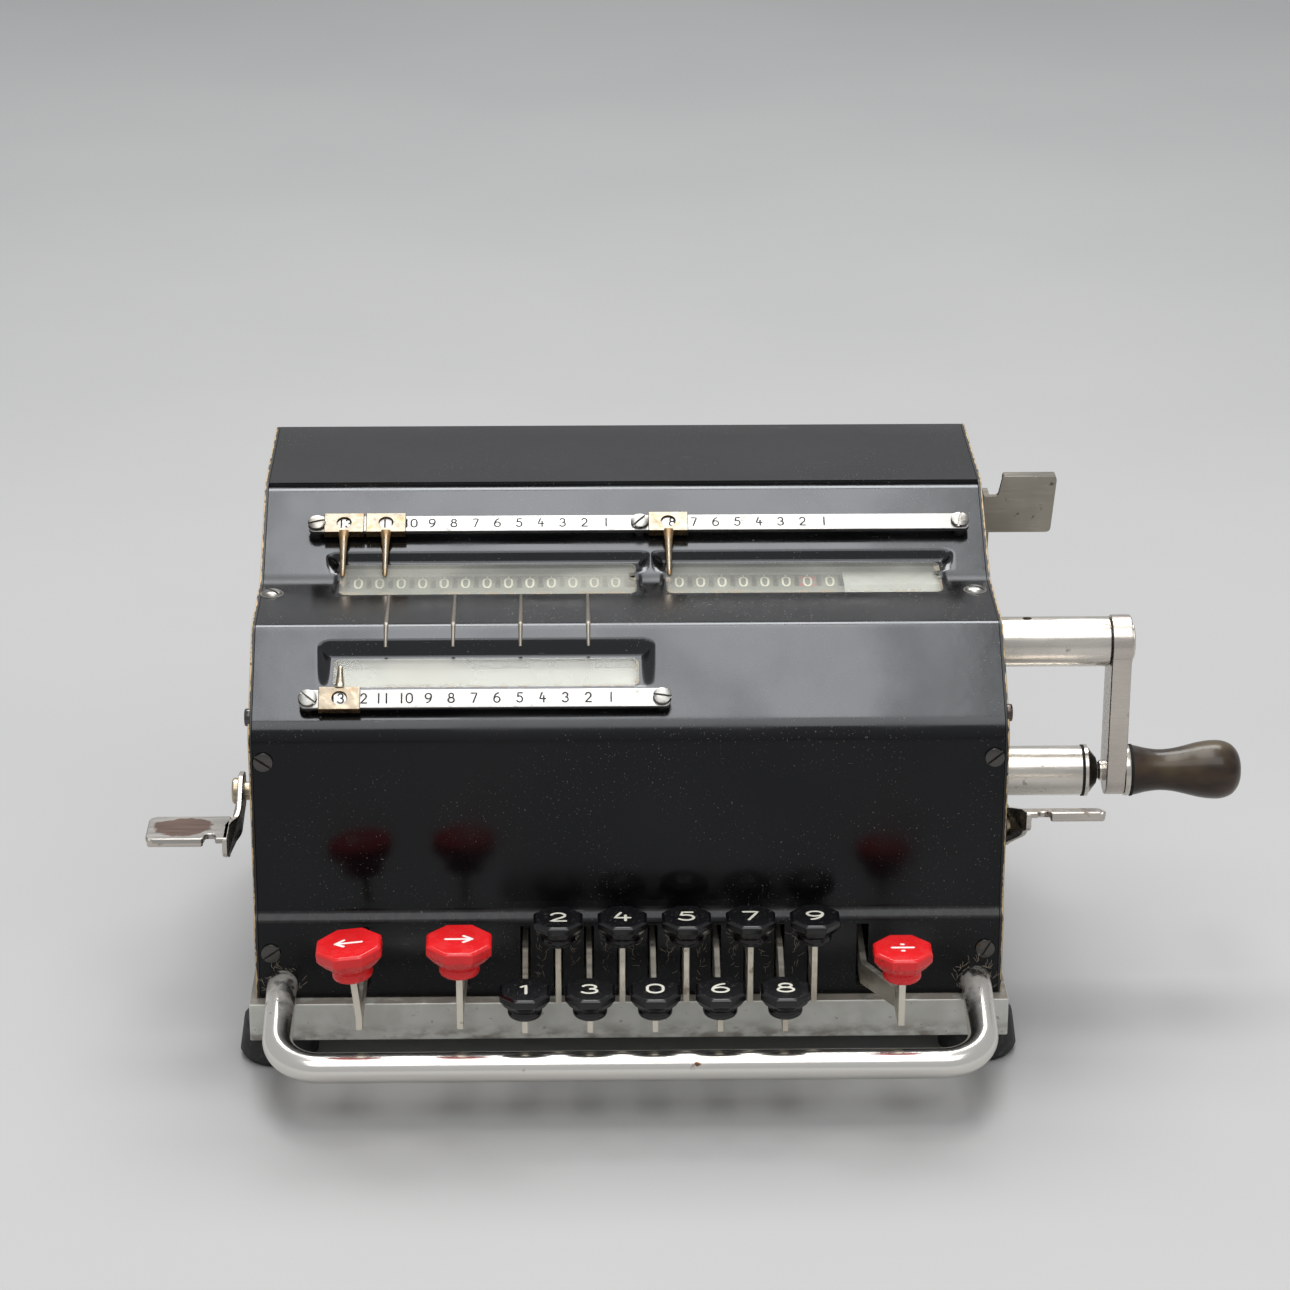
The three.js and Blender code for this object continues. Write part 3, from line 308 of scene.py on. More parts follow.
def swept(path, section, sizes=None, up=(0, 0, 1)):
    """A section of (sideways, upward) points carried along a path, scaled by sizes if given."""
    path = [Vector(p) for p in path]
    sideways = None
    rings = []
    for i, here in enumerate(path):
        ahead, behind = path[min(i + 1, len(path) - 1)], path[max(i - 1, 0)]
        along = (ahead - behind).normalized()
        if sideways is None:
            sideways = along.cross(Vector(up)).normalized()
        sideways = (sideways - along * sideways.dot(along)).normalized()
        upward = sideways.cross(along)
        size = sizes[i] if sizes else 1
        rings.append([here + (sideways * u + upward * v) * size for u, v in section])
    return tube_of(rings)


def divided(points, longest):
    """The same line of points with no step longer than a given length."""
    out = [Vector(points[0])]
    for a, b in zip(points, points[1:]):
        steps = max(1, math.ceil((Vector(b) - Vector(a)).length / longest))
        out += [Vector(a).lerp(Vector(b), (k + 1) / steps) for k in range(steps)]
    return out


# ---------- Figures: strokes in a box one unit wide and one unit high ----------


def arc(cx, cy, rx, ry, start, end, steps=14):
    angles = [math.radians(start + (end - start) * i / steps) for i in range(steps + 1)]
    return [(cx + rx * math.cos(a), cy + ry * math.sin(a)) for a in angles]


SIX = [arc(0.9, 0.3, 0.9, 0.72, 100, 172, 8) + arc(0.5, 0.3, 0.5, 0.3, 180, 540, 20)]
STROKES = {
    "0": [[(0, 0.5)] + arc(0.5, 0.64, 0.5, 0.36, 180, 0) + arc(0.5, 0.36, 0.5, 0.36, 0, -180) + [(0, 0.5)]],
    "1": [[(0.28, 0.8), (0.58, 1), (0.58, 0)]],
    "2": [arc(0.5, 0.7, 0.44, 0.3, 165, -35) + [(0.02, 0), (1, 0)]],
    "3": [arc(0.45, 0.75, 0.42, 0.25, 155, -80), arc(0.45, 0.27, 0.5, 0.27, 80, -155)],
    "4": [[(0.4, 1), (0.02, 0.36), (1, 0.36)], [(0.7, 0.66), (0.7, 0)]],
    "5": [[(0.88, 1), (0.24, 1), (0.14, 0.55)] + arc(0.46, 0.33, 0.5, 0.33, 125, -150)],
    "6": SIX,
    "7": [[(0.04, 1), (0.96, 1), (0.36, 0)]],
    "8": [arc(0.5, 0.76, 0.38, 0.24, -90, 270, 20), arc(0.5, 0.27, 0.5, 0.27, 90, 450, 20)],
    "9": [[(1 - u, 1 - v) for u, v in SIX[0]]],
    "right": [[(0, 0.5), (1, 0.5)], [(0.68, 0.86), (1, 0.5), (0.68, 0.14)]],
    "left": [[(1, 0.5), (0, 0.5)], [(0.32, 0.86), (0, 0.5), (0.32, 0.14)]],
    "divide": [[(0.1, 0.5), (0.9, 0.5)], [(0.47, 0.87), (0.53, 0.87)], [(0.47, 0.13), (0.53, 0.13)]],
}
PLAIN_ONE = [[(0.5, 1), (0.5, 0)]]


def stroke(path, width, thickness):
    """One painted stroke: a flat rounded ribbon along a path, with round ends."""
    path = divided([Vector((p[0], p[1], 0)) for p in path], width * 1.5)
    half = width / 2
    first, last = (path[0] - path[1]).normalized(), (path[-1] - path[-2]).normalized()
    ends = ((1, 0.1), (0.75, 0.66), (0.4, 0.92))
    path = [path[0] + first * half * d for d, _ in ends] + path + [
        path[-1] + last * half * d for d, _ in reversed(ends)
    ]
    sizes = [s for _, s in ends] + [1] * (len(path) - 2 * len(ends)) + [s for _, s in reversed(ends)]
    return swept(path, circle(half, 8, thickness / width), sizes)


def figure(text, size, width, thickness=0.16, plain=False):
    """Numerals or a sign centred on the origin, in the plane z = 0, with (wide, high) digits."""
    wide, high = size
    marks = [text] if text in STROKES else list(text)
    shapes = []
    for i, mark in enumerate(marks):
        middle = (i - (len(marks) - 1) / 2) * wide * 1.3
        for path in PLAIN_ONE if plain and mark == "1" else STROKES[mark]:
            spots = [(middle + (u - 0.5) * wide, (v - 0.5) * high) for u, v in path]
            shapes.append(stroke(spots, width, thickness))
    return joined(shapes)


# ---------- Pieces ----------


def mesh_of(name, shape):
    mesh = bpy.data.meshes.new(name)
    mesh.from_pydata([tuple(p) for p in shape[0]], [], shape[1])
    mesh.validate()
    return mesh


def tidied(mesh, outward=True):
    """Merges a mesh's double points and turns the faces of a closed one outward."""
    work = bmesh.new()
    work.from_mesh(mesh)
    bmesh.ops.remove_doubles(work, verts=work.verts, dist=1e-4)
    if outward:
        bmesh.ops.recalc_face_normals(work, faces=work.faces)
    work.to_mesh(mesh)
    work.free()
    return mesh


def finished(name, mesh, material, body, nodes=(), bevel=0, sharp=32):
    """Links a mesh that is already in the frame's metres as a piece riding on a body."""
    mesh.shade_smooth()
    mesh.set_sharp_from_angle(angle=math.radians(sharp))
    mesh.materials.clear()
    mesh.materials.append(material)
    made = bpy.data.objects.new(name, mesh)
    bpy.context.scene.collection.objects.link(made)
    if bevel:
        soften = made.modifiers.new("soft_edges", "BEVEL")
        soften.width = bevel / 1000
        soften.segments = 3
        soften.limit_method = "ANGLE"
        soften.angle_limit = math.radians(sharp)
        soften.harden_normals = True
    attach(made, body)
    if nodes:
        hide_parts(*nodes)
    return made


def piece(name, shape, material, body="chassis", nodes=(), bevel=0, sharp=32):
    mesh = tidied(mesh_of(name, shape))
    mesh.transform(TO_FRAME)
    return finished(name, mesh, material, body, nodes, bevel, sharp)


def body_of(node):
    return frame["nodes"][node]["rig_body"]


def refined(node, material, bevel=0.3, sharp=25):
    """A copy of a CAD node with its flat faces made whole and its edges softened."""
    work = bmesh.new()
    work.from_mesh(frame["nodes"][node].data)
    bmesh.ops.remove_doubles(work, verts=work.verts, dist=5e-6)
    bmesh.ops.dissolve_limit(work, angle_limit=math.radians(1), verts=work.verts, edges=work.edges)
    mesh = bpy.data.meshes.new(node + "_shape")
    work.to_mesh(mesh)
    work.free()
    return finished(node + "_skin", mesh, material, body_of(node), (node,), bevel, sharp)


def carved(shape, *cutters):
    """A mesh with other shapes cut out of it, in millimetres."""
    base = bpy.data.objects.new("carved", tidied(mesh_of("carved", shape)))
    bpy.context.scene.collection.objects.link(base)
    tools = []
    for cutter in cutters:
        tool = bpy.data.objects.new("cutter", tidied(mesh_of("cutter", cutter)))
        bpy.context.scene.collection.objects.link(tool)
        cut = base.modifiers.new("cut", "BOOLEAN")
        cut.operation = "DIFFERENCE"
        cut.object = tool
        tools.append(tool)
    bpy.context.view_layer.update()
    result = bpy.data.meshes.new_from_object(base.evaluated_get(bpy.context.evaluated_depsgraph_get()))
    for spare in (base, *tools):
        bpy.data.objects.remove(spare)
    return [v.co.copy() for v in result.vertices], [list(p.vertices) for p in result.polygons]


# ---------- Materials ----------


def add_node(tree, kind, inputs=None, **settings):
    made = tree.nodes.new(kind)
    for key, value in settings.items():
        setattr(made, key, value)
    for key, value in (inputs or {}).items():
        if isinstance(value, bpy.types.NodeSocket):
            tree.links.new(value, made.inputs[key])
        else:
            made.inputs[key].default_value = value
    return made


def blank_material(name):
    material = bpy.data.materials.new(name)
    material.use_nodes = True
    tree = material.node_tree
    return material, tree, tree.nodes["Principled BSDF"]


def noise(tree, scale, detail=3, stretch=(1, 1, 1), roughness=0.5):
    """Cloudy grey from 0 to 1. A scale of 1000 has features about a millimetre across."""
    place = add_node(tree, "ShaderNodeTexCoord").outputs["Object"]
    spread = add_node(tree, "ShaderNodeMapping", {"Vector": place, "Scale": stretch}).outputs[0]
    made = add_node(tree, "ShaderNodeTexNoise", {
        "Vector": spread, "Scale": scale, "Detail": detail, "Roughness": roughness,
    })
    return made.outputs[0]


def between(tree, value, low, high, out_low=0, out_high=1):
    """The value's place between low and high, smoothed, as a number from out_low to out_high."""
    made = add_node(tree, "ShaderNodeMapRange", {
        "Value": value, "From Min": low, "From Max": high, "To Min": out_low, "To Max": out_high,
    }, interpolation_type="SMOOTHSTEP")
    return made.outputs[0]


def times(tree, a, b, operation="MULTIPLY"):
    made = add_node(tree, "ShaderNodeMath", {0: a, 1: b}, operation=operation)
    return made.outputs[0]


def distance(tree, value, centre):
    """How far a value is from a centre, either way."""
    return times(tree, times(tree, value, centre, "SUBTRACT"), 0, "ABSOLUTE")


def mixed(tree, share, first, second):
    """The first colour where share is 0 and the second where it is 1."""
    made = add_node(tree, "ShaderNodeMix", {0: share, 6: first, 7: second}, data_type="RGBA")
    return made.outputs[2]


def colour(red, green, blue):
    return (red, green, blue, 1)


def position(tree, axis):
    """One coordinate of the surface point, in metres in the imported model's frame."""
    place = add_node(tree, "ShaderNodeTexCoord").outputs["Object"]
    return add_node(tree, "ShaderNodeSeparateXYZ", {0: place}).outputs[axis]


def facing(tree, axis):
    """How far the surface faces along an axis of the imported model's frame."""
    way = add_node(tree, "ShaderNodeTexCoord").outputs["Normal"]
    return add_node(tree, "ShaderNodeSeparateXYZ", {0: way}).outputs[axis]


def wire(tree, bsdf, **sockets):
    for name, value in sockets.items():
        tree.links.new(value, bsdf.inputs[name.replace("_", " ")])


def rough_bump(tree, bsdf, height, strength, distance=0.0002):
    bump = add_node(tree, "ShaderNodeBump", {"Strength": strength, "Distance": distance, "Height": height})
    tree.links.new(bump.outputs[0], bsdf.inputs["Normal"])


def dust_and_scratches(tree, amount):
    """Where pale dust specks and fine scratches lie."""
    specks = between(tree, noise(tree, 1700, 2), 0.7 - 0.03 * amount, 0.74)
    patches = between(tree, noise(tree, 40, 3), 0.36, 0.6)
    along = between(tree, noise(tree, 900, 1, (0.1, 1, 1)), 0.79, 0.82, 0, 0.4)
    return times(tree, times(tree, specks, patches), along, "MAXIMUM")


def lacquer(name="black_lacquer", shine=0.1, dust=1.0):
    material, tree, bsdf = blank_material(name)
    dirt = times(tree, dust_and_scratches(tree, dust), 0.4 * dust)
    film = times(tree, between(tree, noise(tree, 25, 4), 0.4, 0.75), 0.012 * dust)
    black = colour(0.0024, 0.0024, 0.0028)
    haze = mixed(tree, film, black, colour(0.2, 0.2, 0.2))
    base = mixed(tree, dirt, haze, colour(0.32, 0.3, 0.27))
    smear = between(tree, noise(tree, 30, 5, (1, 1, 0.5)), 0.35, 0.75, shine, shine + 0.14)
    off_crease = distance(tree, position(tree, 1), ORIGIN.y + SHELF_BACK_Y / 1000 + 0.0006)
    crease = between(tree, off_crease, 0.003, 0.001, 0, 0.3)
    rough = times(tree, times(tree, smear, crease, "ADD"), times(tree, dirt, 0.6), "ADD")
    wire(tree, bsdf, Base_Color=base, Roughness=rough)
    gloss = between(tree, position(tree, 2), BROW_Z / 1000 - 0.004, BROW_Z / 1000 + 0.004, 0.27, 0.62)
    top = between(tree, position(tree, 2), (TOP_Z - 0.8) / 1000, (TOP_Z - 0.3) / 1000, 1, 0.55)
    wire(tree, bsdf, Specular_IOR_Level=times(tree, gloss, top))
    bsdf.inputs["Specular Tint"].default_value = colour(0.93, 0.96, 1)
    rough_bump(tree, bsdf, noise(tree, 70, 3), 0.05, 0.0008)
    return material


def ledge_lacquer():
    """The lower panel: the same lacquer, paler where it faces up, on its sloping ledge and at its foot: dust,
    and a painted highlight along the ledge.
    """
    material = lacquer("ledge_dust_and_highlight_lacquer", 0.2, 1.1)
    tree = material.node_tree
    bsdf = tree.nodes["Principled BSDF"]
    plain = bsdf.inputs["Base Color"].links[0].from_socket
    fluff = between(tree, noise(tree, 400, 4), 0.25, 0.7, 0.55, 1)
    # Faces that point up get a paler grey: dust, and a painted highlight on the rounded ledge.
    shelf = times(tree, between(tree, facing(tree, 2), 0.12, 0.6), fluff)
    wire(tree, bsdf, Base_Color=mixed(tree, times(tree, shelf, 0.1), plain, colour(0.3, 0.29, 0.27)))
    return material


def worn_edge():
    """The rim of a side cover: black, worn through to a brassy line along its outer edge."""
    material, tree, bsdf = blank_material("worn_rim")
    half = CASE_HALF / 1000
    outer = distance(tree, position(tree, 0), ORIGIN.x)
    ragged = between(tree, noise(tree, 260, 4), 0.3, 0.7, -0.0002, 0.0002)
    line = between(tree, times(tree, outer, ragged, "ADD"), half - 0.0005, half - 0.0003)
    worn = between(tree, noise(tree, 90, 4), 0.32, 0.42)
    chips = between(tree, noise(tree, 900, 3), 0.3, 0.42)
    wear = times(tree, times(tree, worn, chips), line)
    wire(tree, bsdf, Base_Color=mixed(tree, wear, colour(0.01, 0.01, 0.01), colour(0.5, 0.36, 0.19)))
    bsdf.inputs["Roughness"].default_value = 0.45
    return material


def metal(name, tint, rough, dull=0.12, stains=0.5, stain_tint=(0.16, 0.13, 0.1)):
    """Plated or bare metal with a cloudy finish, fine scratches and small stains."""
    material, tree, bsdf = blank_material(name)
    stain = times(tree, between(tree, noise(tree, 350, 4), 0.62, 0.74), stains)
    cloud = times(tree, between(tree, noise(tree, 60, 4), 0.3, 0.75), 0.25)
    duller = colour(*[c * 0.72 for c in tint])
    base = mixed(tree, cloud, colour(*tint), duller)
    tarnish = times(tree, between(tree, noise(tree, 26, 3), 0.46, 0.7), stains * 0.55)
    base = mixed(tree, times(tree, stain, tarnish, "MAXIMUM"), base, colour(*stain_tint))
    brushed = noise(tree, 900, 2, (0.08, 1, 1))
    finish = between(tree, brushed, 0.3, 0.7, rough, rough + dull)
    wire(tree, bsdf, Base_Color=base, Roughness=times(tree, finish, times(tree, stain, 0.3), "ADD"))
    bsdf.inputs["Metallic"].default_value = 1
    rough_bump(tree, bsdf, brushed, 0.08, 0.00005)
    return material


def worn_tab():
    """The left finger tab: nickel, worn to copper brown in an oval where the thumb presses."""
    material = metal("thumb_worn_nickel", (0.42, 0.4, 0.375), 0.3, 0.14, 0.8, (0.2, 0.14, 0.1))
    tree = material.node_tree
    bsdf = tree.nodes["Principled BSDF"]
    plain = bsdf.inputs["Base Color"].links[0].from_socket
    across = times(tree, distance(tree, position(tree, 0), ORIGIN.x + WORN_SPOT[0] / 1000), 105)
    along = times(tree, distance(tree, position(tree, 1), ORIGIN.y + WORN_SPOT[1] / 1000), 145)
    reach = times(tree, times(tree, across, across), times(tree, along, along), "ADD")
    ragged = times(tree, reach, between(tree, noise(tree, 250, 4), 0.3, 0.7, -0.25, 0.25), "ADD")
    worn = between(tree, ragged, 1.05, 0.8, 0, 0.9)
    wire(tree, bsdf, Base_Color=mixed(tree, worn, plain, colour(0.14, 0.08, 0.062)))
    return material


def worn_brass():
    """Nickel plate worn through to brass along the markers' edges."""
    material, tree, bsdf = blank_material("worn_brass")
    edge = between(tree, facing(tree, 2), 0.8, 0.7)
    wear = times(tree, edge, between(tree, noise(tree, 240, 4), 0.56, 0.66, 0, 0.7), "MAXIMUM")
    base = mixed(tree, wear, colour(0.27, 0.24, 0.19), colour(0.27, 0.18, 0.095))
    grime = times(tree, between(tree, noise(tree, 700, 3), 0.58, 0.72), 0.4)
    base = mixed(tree, grime, base, colour(0.12, 0.08, 0.04))
    wire(tree, bsdf, Base_Color=base, Roughness=between(tree, noise(tree, 500), 0.3, 0.7, 0.22, 0.42))
    bsdf.inputs["Metallic"].default_value = 1
    return material


def handle_chrome():
    """Bright chrome, dull with grey dust on the two short legs, with a rust spot or two."""
    material, tree, bsdf = blank_material("handle_chrome")
    back = (ORIGIN.y + HANDLE_BAR_Y / 1000, ORIGIN.y - 0.004)
    leg = between(tree, position(tree, 1), back[0] + 0.012, back[1])
    fluff = between(tree, noise(tree, 220, 5), 0.35, 0.7)
    dust = times(tree, times(tree, leg, fluff), 0.85)
    rust = between(tree, noise(tree, 130, 3), 0.7, 0.76)
    base = mixed(tree, rust, colour(0.8, 0.775, 0.73), colour(0.2, 0.09, 0.04))
    base = mixed(tree, dust, base, colour(0.14, 0.13, 0.11))
    shine = between(tree, noise(tree, 200), 0.3, 0.8, 0.2, 0.23)
    rough = times(tree, times(tree, dust, 0.5), shine, "ADD")
    wire(tree, bsdf, Base_Color=base, Roughness=rough, Metallic=times(tree, 1.0, dust, "SUBTRACT"))
    return material


def base_steel():
    """The raw steel tray: brushed, mottled, brown with dirt along its foot and on its ledge."""
    material, tree, bsdf = blank_material("base_steel")
    mottle = between(tree, noise(tree, 120, 5), 0.3, 0.7)
    base = mixed(tree, mottle, colour(0.56, 0.56, 0.52), colour(0.68, 0.68, 0.64))
    foot = between(tree, position(tree, 2), 0.0165, 0.0095)
    grime = times(tree, foot, between(tree, noise(tree, 300, 5, (0.5, 1, 1)), 0.38, 0.66))
    spots = between(tree, noise(tree, 420, 4), 0.64, 0.72)
    grime = times(tree, grime, times(tree, spots, 0.7), "MAXIMUM")
    top = between(tree, facing(tree, 2), 0.6, 0.9)
    grime = times(tree, grime, times(tree, top, between(tree, noise(tree, 200, 4), 0.2, 0.5)), "MAXIMUM")
    base = mixed(tree, times(tree, grime, 0.75), base, colour(0.1, 0.07, 0.045))
    wire(tree, bsdf, Base_Color=base, Metallic=times(tree, 0.5, times(tree, grime, 0.5), "SUBTRACT"))
    bsdf.inputs["Roughness"].default_value = 0.42
    rough_bump(tree, bsdf, noise(tree, 700, 3), 0.15, 0.00005)
    return material


def black_key():
    """A moulded black key: glossy sides, and a top roughened and greyed by wear."""
    material, tree, bsdf = blank_material("black_key")
    top = between(tree, facing(tree, 2), 0.9, 0.97)
    pits = noise(tree, 1500, 4)
    grey = times(tree, top, between(tree, pits, 0.6, 0.72))
    base = mixed(tree, times(tree, grey, 0.3), colour(0.004, 0.004, 0.005), colour(0.3, 0.3, 0.28))
    wire(tree, bsdf, Base_Color=base, Roughness=between(tree, top, 0, 1, 0.16, 0.3))
    rough_bump(tree, bsdf, times(tree, pits, top), 0.35, 0.0003)
    return material


def red_key():
    material, tree, bsdf = blank_material("red_key")
    shade = between(tree, noise(tree, 90, 3), 0.3, 0.7)
    base = mixed(tree, shade, colour(0.76, 0.014, 0.018), colour(0.66, 0.012, 0.014))
    grime = between(tree, noise(tree, 500, 4), 0.6, 0.72, 0, 0.4)
    side = between(tree, facing(tree, 2), 0.6, 0.1)
    base = mixed(tree, times(tree, grime, side), base, colour(0.1, 0.01, 0.01))
    wire(tree, bsdf, Base_Color=base, Roughness=between(tree, noise(tree, 300), 0.3, 0.7, 0.2, 0.34))
    rough_bump(tree, bsdf, noise(tree, 350, 2), 0.06, 0.0003)
    return material


def horn():
    """Dark polished horn with greenish brown streaks along its length."""
    material, tree, bsdf = blank_material("polished_horn")
    streak = between(tree, noise(tree, 160, 4, (0.25, 1, 1)), 0.35, 0.7)
    base = mixed(tree, streak, colour(0.016, 0.008, 0.005), colour(0.05, 0.029, 0.016))
    glow = between(tree, noise(tree, 60, 2), 0.5, 0.75)
    base = mixed(tree, times(tree, glow, 0.6), base, colour(0.1, 0.075, 0.035))
    wire(tree, bsdf, Base_Color=base, Roughness=between(tree, noise(tree, 250), 0.3, 0.8, 0.3, 0.4))
    bsdf.inputs["Specular IOR Level"].default_value = 0.3
    bsdf.inputs["Coat Weight"].default_value = 0.2
    bsdf.inputs["Coat Roughness"].default_value = 0.1
    return material


def rubber():
    material, tree, bsdf = blank_material("foot_rubber")
    dust = between(tree, noise(tree, 500, 4), 0.5, 0.75, 0, 0.25)
    wire(tree, bsdf, Base_Color=mixed(tree, dust, colour(0.008, 0.008, 0.008), colour(0.12, 0.115, 0.11)))
    bsdf.inputs["Roughness"].default_value = 0.6
    rough_bump(tree, bsdf, noise(tree, 900), 0.2)
    return material


def pane_edge(tree):
    """1 along the front edge and the ends of a pane, where grime gathers, and 0 inside."""
    place = add_node(tree, "ShaderNodeTexCoord").outputs["Generated"]
    parts = add_node(tree, "ShaderNodeSeparateXYZ", {"Vector": place}).outputs
    ends = between(tree, distance(tree, parts["X"], 0.5), 0.465, 0.5)
    front = between(tree, parts["Y"], 0.14, 0.02)
    return times(tree, ends, front, "MAXIMUM")


def pane(name, clear, milky):
    """A thin pane, milky with age and brown with grime along its edges."""
    material, tree, bsdf = blank_material(name)
    haze = between(tree, noise(tree, 35, 2), 0.35, 0.75)
    grime = times(tree, pane_edge(tree), between(tree, noise(tree, 260, 4), 0.4, 0.6, 0.1, 1))
    base = mixed(tree, haze, colour(0.8, 0.81, 0.74), colour(0.7, 0.69, 0.61))
    base = mixed(tree, times(tree, grime, 0.8), base, colour(0.32, 0.22, 0.12))
    cover = times(tree, between(tree, haze, 0, 1, clear, milky), times(tree, grime, 0.6), "MAXIMUM")
    wire(tree, bsdf, Base_Color=base, Alpha=cover)
    bsdf.inputs["Roughness"].default_value = 0.08
    return material


def paint(name, tint, rough=0.5, mottled=0.15):
    material, tree, bsdf = blank_material(name)
    cloud = between(tree, noise(tree, 300, 4), 0.3, 0.7)
    darker = colour(*[c * (1 - mottled) for c in tint])
    wire(tree, bsdf, Base_Color=mixed(tree, cloud, colour(*tint), darker))
    bsdf.inputs["Roughness"].default_value = rough
    return material


LACQUER = lacquer(shine=0.13)
SATIN = lacquer("satin_lacquer", 0.26, 1.3)
PANEL = ledge_lacquer()
RIM = worn_edge()
NICKEL = metal("worn_nickel", (0.74, 0.7, 0.64), 0.18)
BAR_METAL = metal("bar_nickel", (0.33, 0.325, 0.315), 0.26, stains=0.35)
WIRE_METAL = metal("wire_steel", (0.22, 0.2, 0.17), 0.3, 0.14, 0.6)
STEEL = metal("arm_steel", (0.62, 0.57, 0.52), 0.24, 0.1, 0.3)
SCREW_METAL = metal("screw_steel", (0.3, 0.295, 0.28), 0.24, 0.14, 0.8)
DARK_SCREW = metal("dark_screw", (0.1, 0.095, 0.09), 0.22, 0.14, 1.0, (0.12, 0.07, 0.04))
LEVER_METAL = metal("lever_steel", (0.74, 0.69, 0.6), 0.32, 0.14, 0.6, (0.25, 0.17, 0.09))
TAB_METAL = metal("tab_nickel", (0.6, 0.55, 0.5), 0.24, 0.14, 0.9, (0.2, 0.15, 0.1))
TARNISHED = metal("tarnished_nickel", (0.38, 0.35, 0.3), 0.26, 0.14, 1.0, (0.1, 0.085, 0.06))
WORN_TAB = worn_tab()
GOLDEN = metal("boss_nickel", (0.5, 0.42, 0.3), 0.22, 0.14, 0.6, (0.2, 0.13, 0.07))
DARK_METAL = metal("dark_steel", (0.1, 0.095, 0.09), 0.3)
INNER_STEEL = metal("inner_steel", (0.3, 0.3, 0.29), 0.4)
GEAR_BRASS = metal("gear_brass", (0.45, 0.33, 0.15), 0.3)
WORN_BRASS = worn_brass()
CHROME = handle_chrome()
BASE_STEEL = base_steel()
BLACK_KEY = black_key()
RED_KEY = red_key()
HORN = horn()
RUBBER = rubber()
GLASS = pane("aged_pane", 0.12, 0.25)
MILKY_GLASS = pane("milky_pane", 0.3, 0.4)
CREAM = paint("cream_paint", (0.78, 0.76, 0.66), 0.5, 0.12)
WHITE = paint("white_paint", (0.86, 0.85, 0.82), 0.45, 0.08)
DIAL_CREAM = paint("dial_cream", (0.92, 0.89, 0.68), 0.5, 0.2)
DIAL_GREEN = paint("dial_paint", (0.17, 0.18, 0.145), 0.45, 0.2)
PLATE_GREEN = paint("plate_paint", (0.36, 0.38, 0.32), 0.45, 0.12)
BLANK_GREEN = paint("blank_paint", (0.42, 0.43, 0.38), 0.45, 0.12)
MASK_GREEN = paint("mask_paint", (0.2, 0.21, 0.17), 0.45, 0.12)
PALE_GREEN = paint("shutter_paint", (0.6, 0.62, 0.55), 0.45, 0.08)
PATCH_PAINT = paint("patch_paint", (0.8, 0.8, 0.72))
RED_MARK = paint("red_mark", (0.42, 0.06, 0.05), 0.5)
WORN_RING = paint("worn_ring", (0.16, 0.15, 0.135), 0.5, 0.5)
LINT = paint("lint", (0.42, 0.35, 0.27), 0.9, 0.4)
INK = paint("engraved_ink", (0.012, 0.011, 0.01), 0.8, 0.5)
HOLE_BLACK = paint("hole_black", (0.004, 0.004, 0.004), 0.8)

# ---------- Covers ----------


def alcove_share(window, x, y, end):
    """0 on the floor of the pressed alcove round a window, 1 outside it. end is the end wall's width."""
    middle = (window["left"] + window["right"]) / 2
    half = (window["right"] - window["left"]) / 2 + 0.4
    out_x = max(abs(x - middle) - half, 0) / end
    out_y = max(y - window["back"][0] - 0.1, 0) / ALCOVE_BACK
    out = min(math.hypot(out_x, out_y), 1)
    return out * out * (3 - 2 * out)


def cover_point(x, y, z):
    """A point of the front cover: on the bent sheet, or lower where an alcove is pressed in."""
    if z > BROW_Z:
        for window in WINDOWS:
            (front_y, front_z), (back_y, back_z) = window["front"], window["back"]
            if y > front_y:
                floor = front_z + (y - front_y) * (back_z - front_z) / (back_y - front_y)
                floor -= 0.25 * min(y - front_y, 1)
                end = ALCOVE_END if z > floor else ALCOVE_FOOT
                z = floor + (z - floor) * alcove_share(window, x, y, end)
    return Vector((x, y, z))


def slots():
    """The middle x and half width of every lever slot in the lower panel."""
    found = [(row["first"] + i * KEY_PITCH, SLOT_HALF) for row in (FRONT_ROW, BACK_ROW) for i in range(5)]
    return found + [(key["slot"], SLOT_HALF + 0.3) for key in RED_KEYS]


def cover_columns():
    columns = {-COVER_HALF, COVER_HALF}
    columns.update(-108 + 4 * i for i in range(55))
    for window in WINDOWS:
        for edge in (window["left"], window["right"]):
            columns.update(edge - 7 + 0.35 * i for i in range(41))
    for x, half in slots():
        columns.update((x - half, x + half))
    ordered = sorted(columns)
    kept = [ordered[0]]
    edges = {x + side * half for x, half in slots() for side in (-1, 1)} | {COVER_HALF}
    for x in ordered[1:]:
        if x - kept[-1] > 0.2 or x in edges:
            kept.append(x)
    return kept


def in_window(x, y):
    """Whether a point of the sheet lies in the round-cornered hole under a pane."""
    for window in WINDOWS:
        out = []
        for value, low, high in (
            (x, window["left"], window["right"]), (y, window["front"][0], window["back"][0]),
        ):
            out.append(abs(value - (low + high) / 2) - (high - low) / 2 + WINDOW_LIP)
        off_corner = math.hypot(out[0] + WINDOW_CORNER, out[1] + WINDOW_CORNER)
        if max(out) < 0 and (min(out) < -WINDOW_CORNER or off_corner < WINDOW_CORNER):
            return True
    return False


def in_slot(x, z):
    return SLOT_FOOT_Z < z < SLOT_TOP_Z and any(abs(x - middle) < half for middle, half in slots())


def pierced(point):
    """Whether a point of the front cover lies in a lever slot or under a pane."""
    if point.y < 0:
        return in_slot(point.x, point.z)
    return point.z > BROW_Z and in_window(point.x, point.y)


def unpressed(x, y, z):
    """A point of a cover with no alcove pressed into it."""
    return Vector((x, y, z))


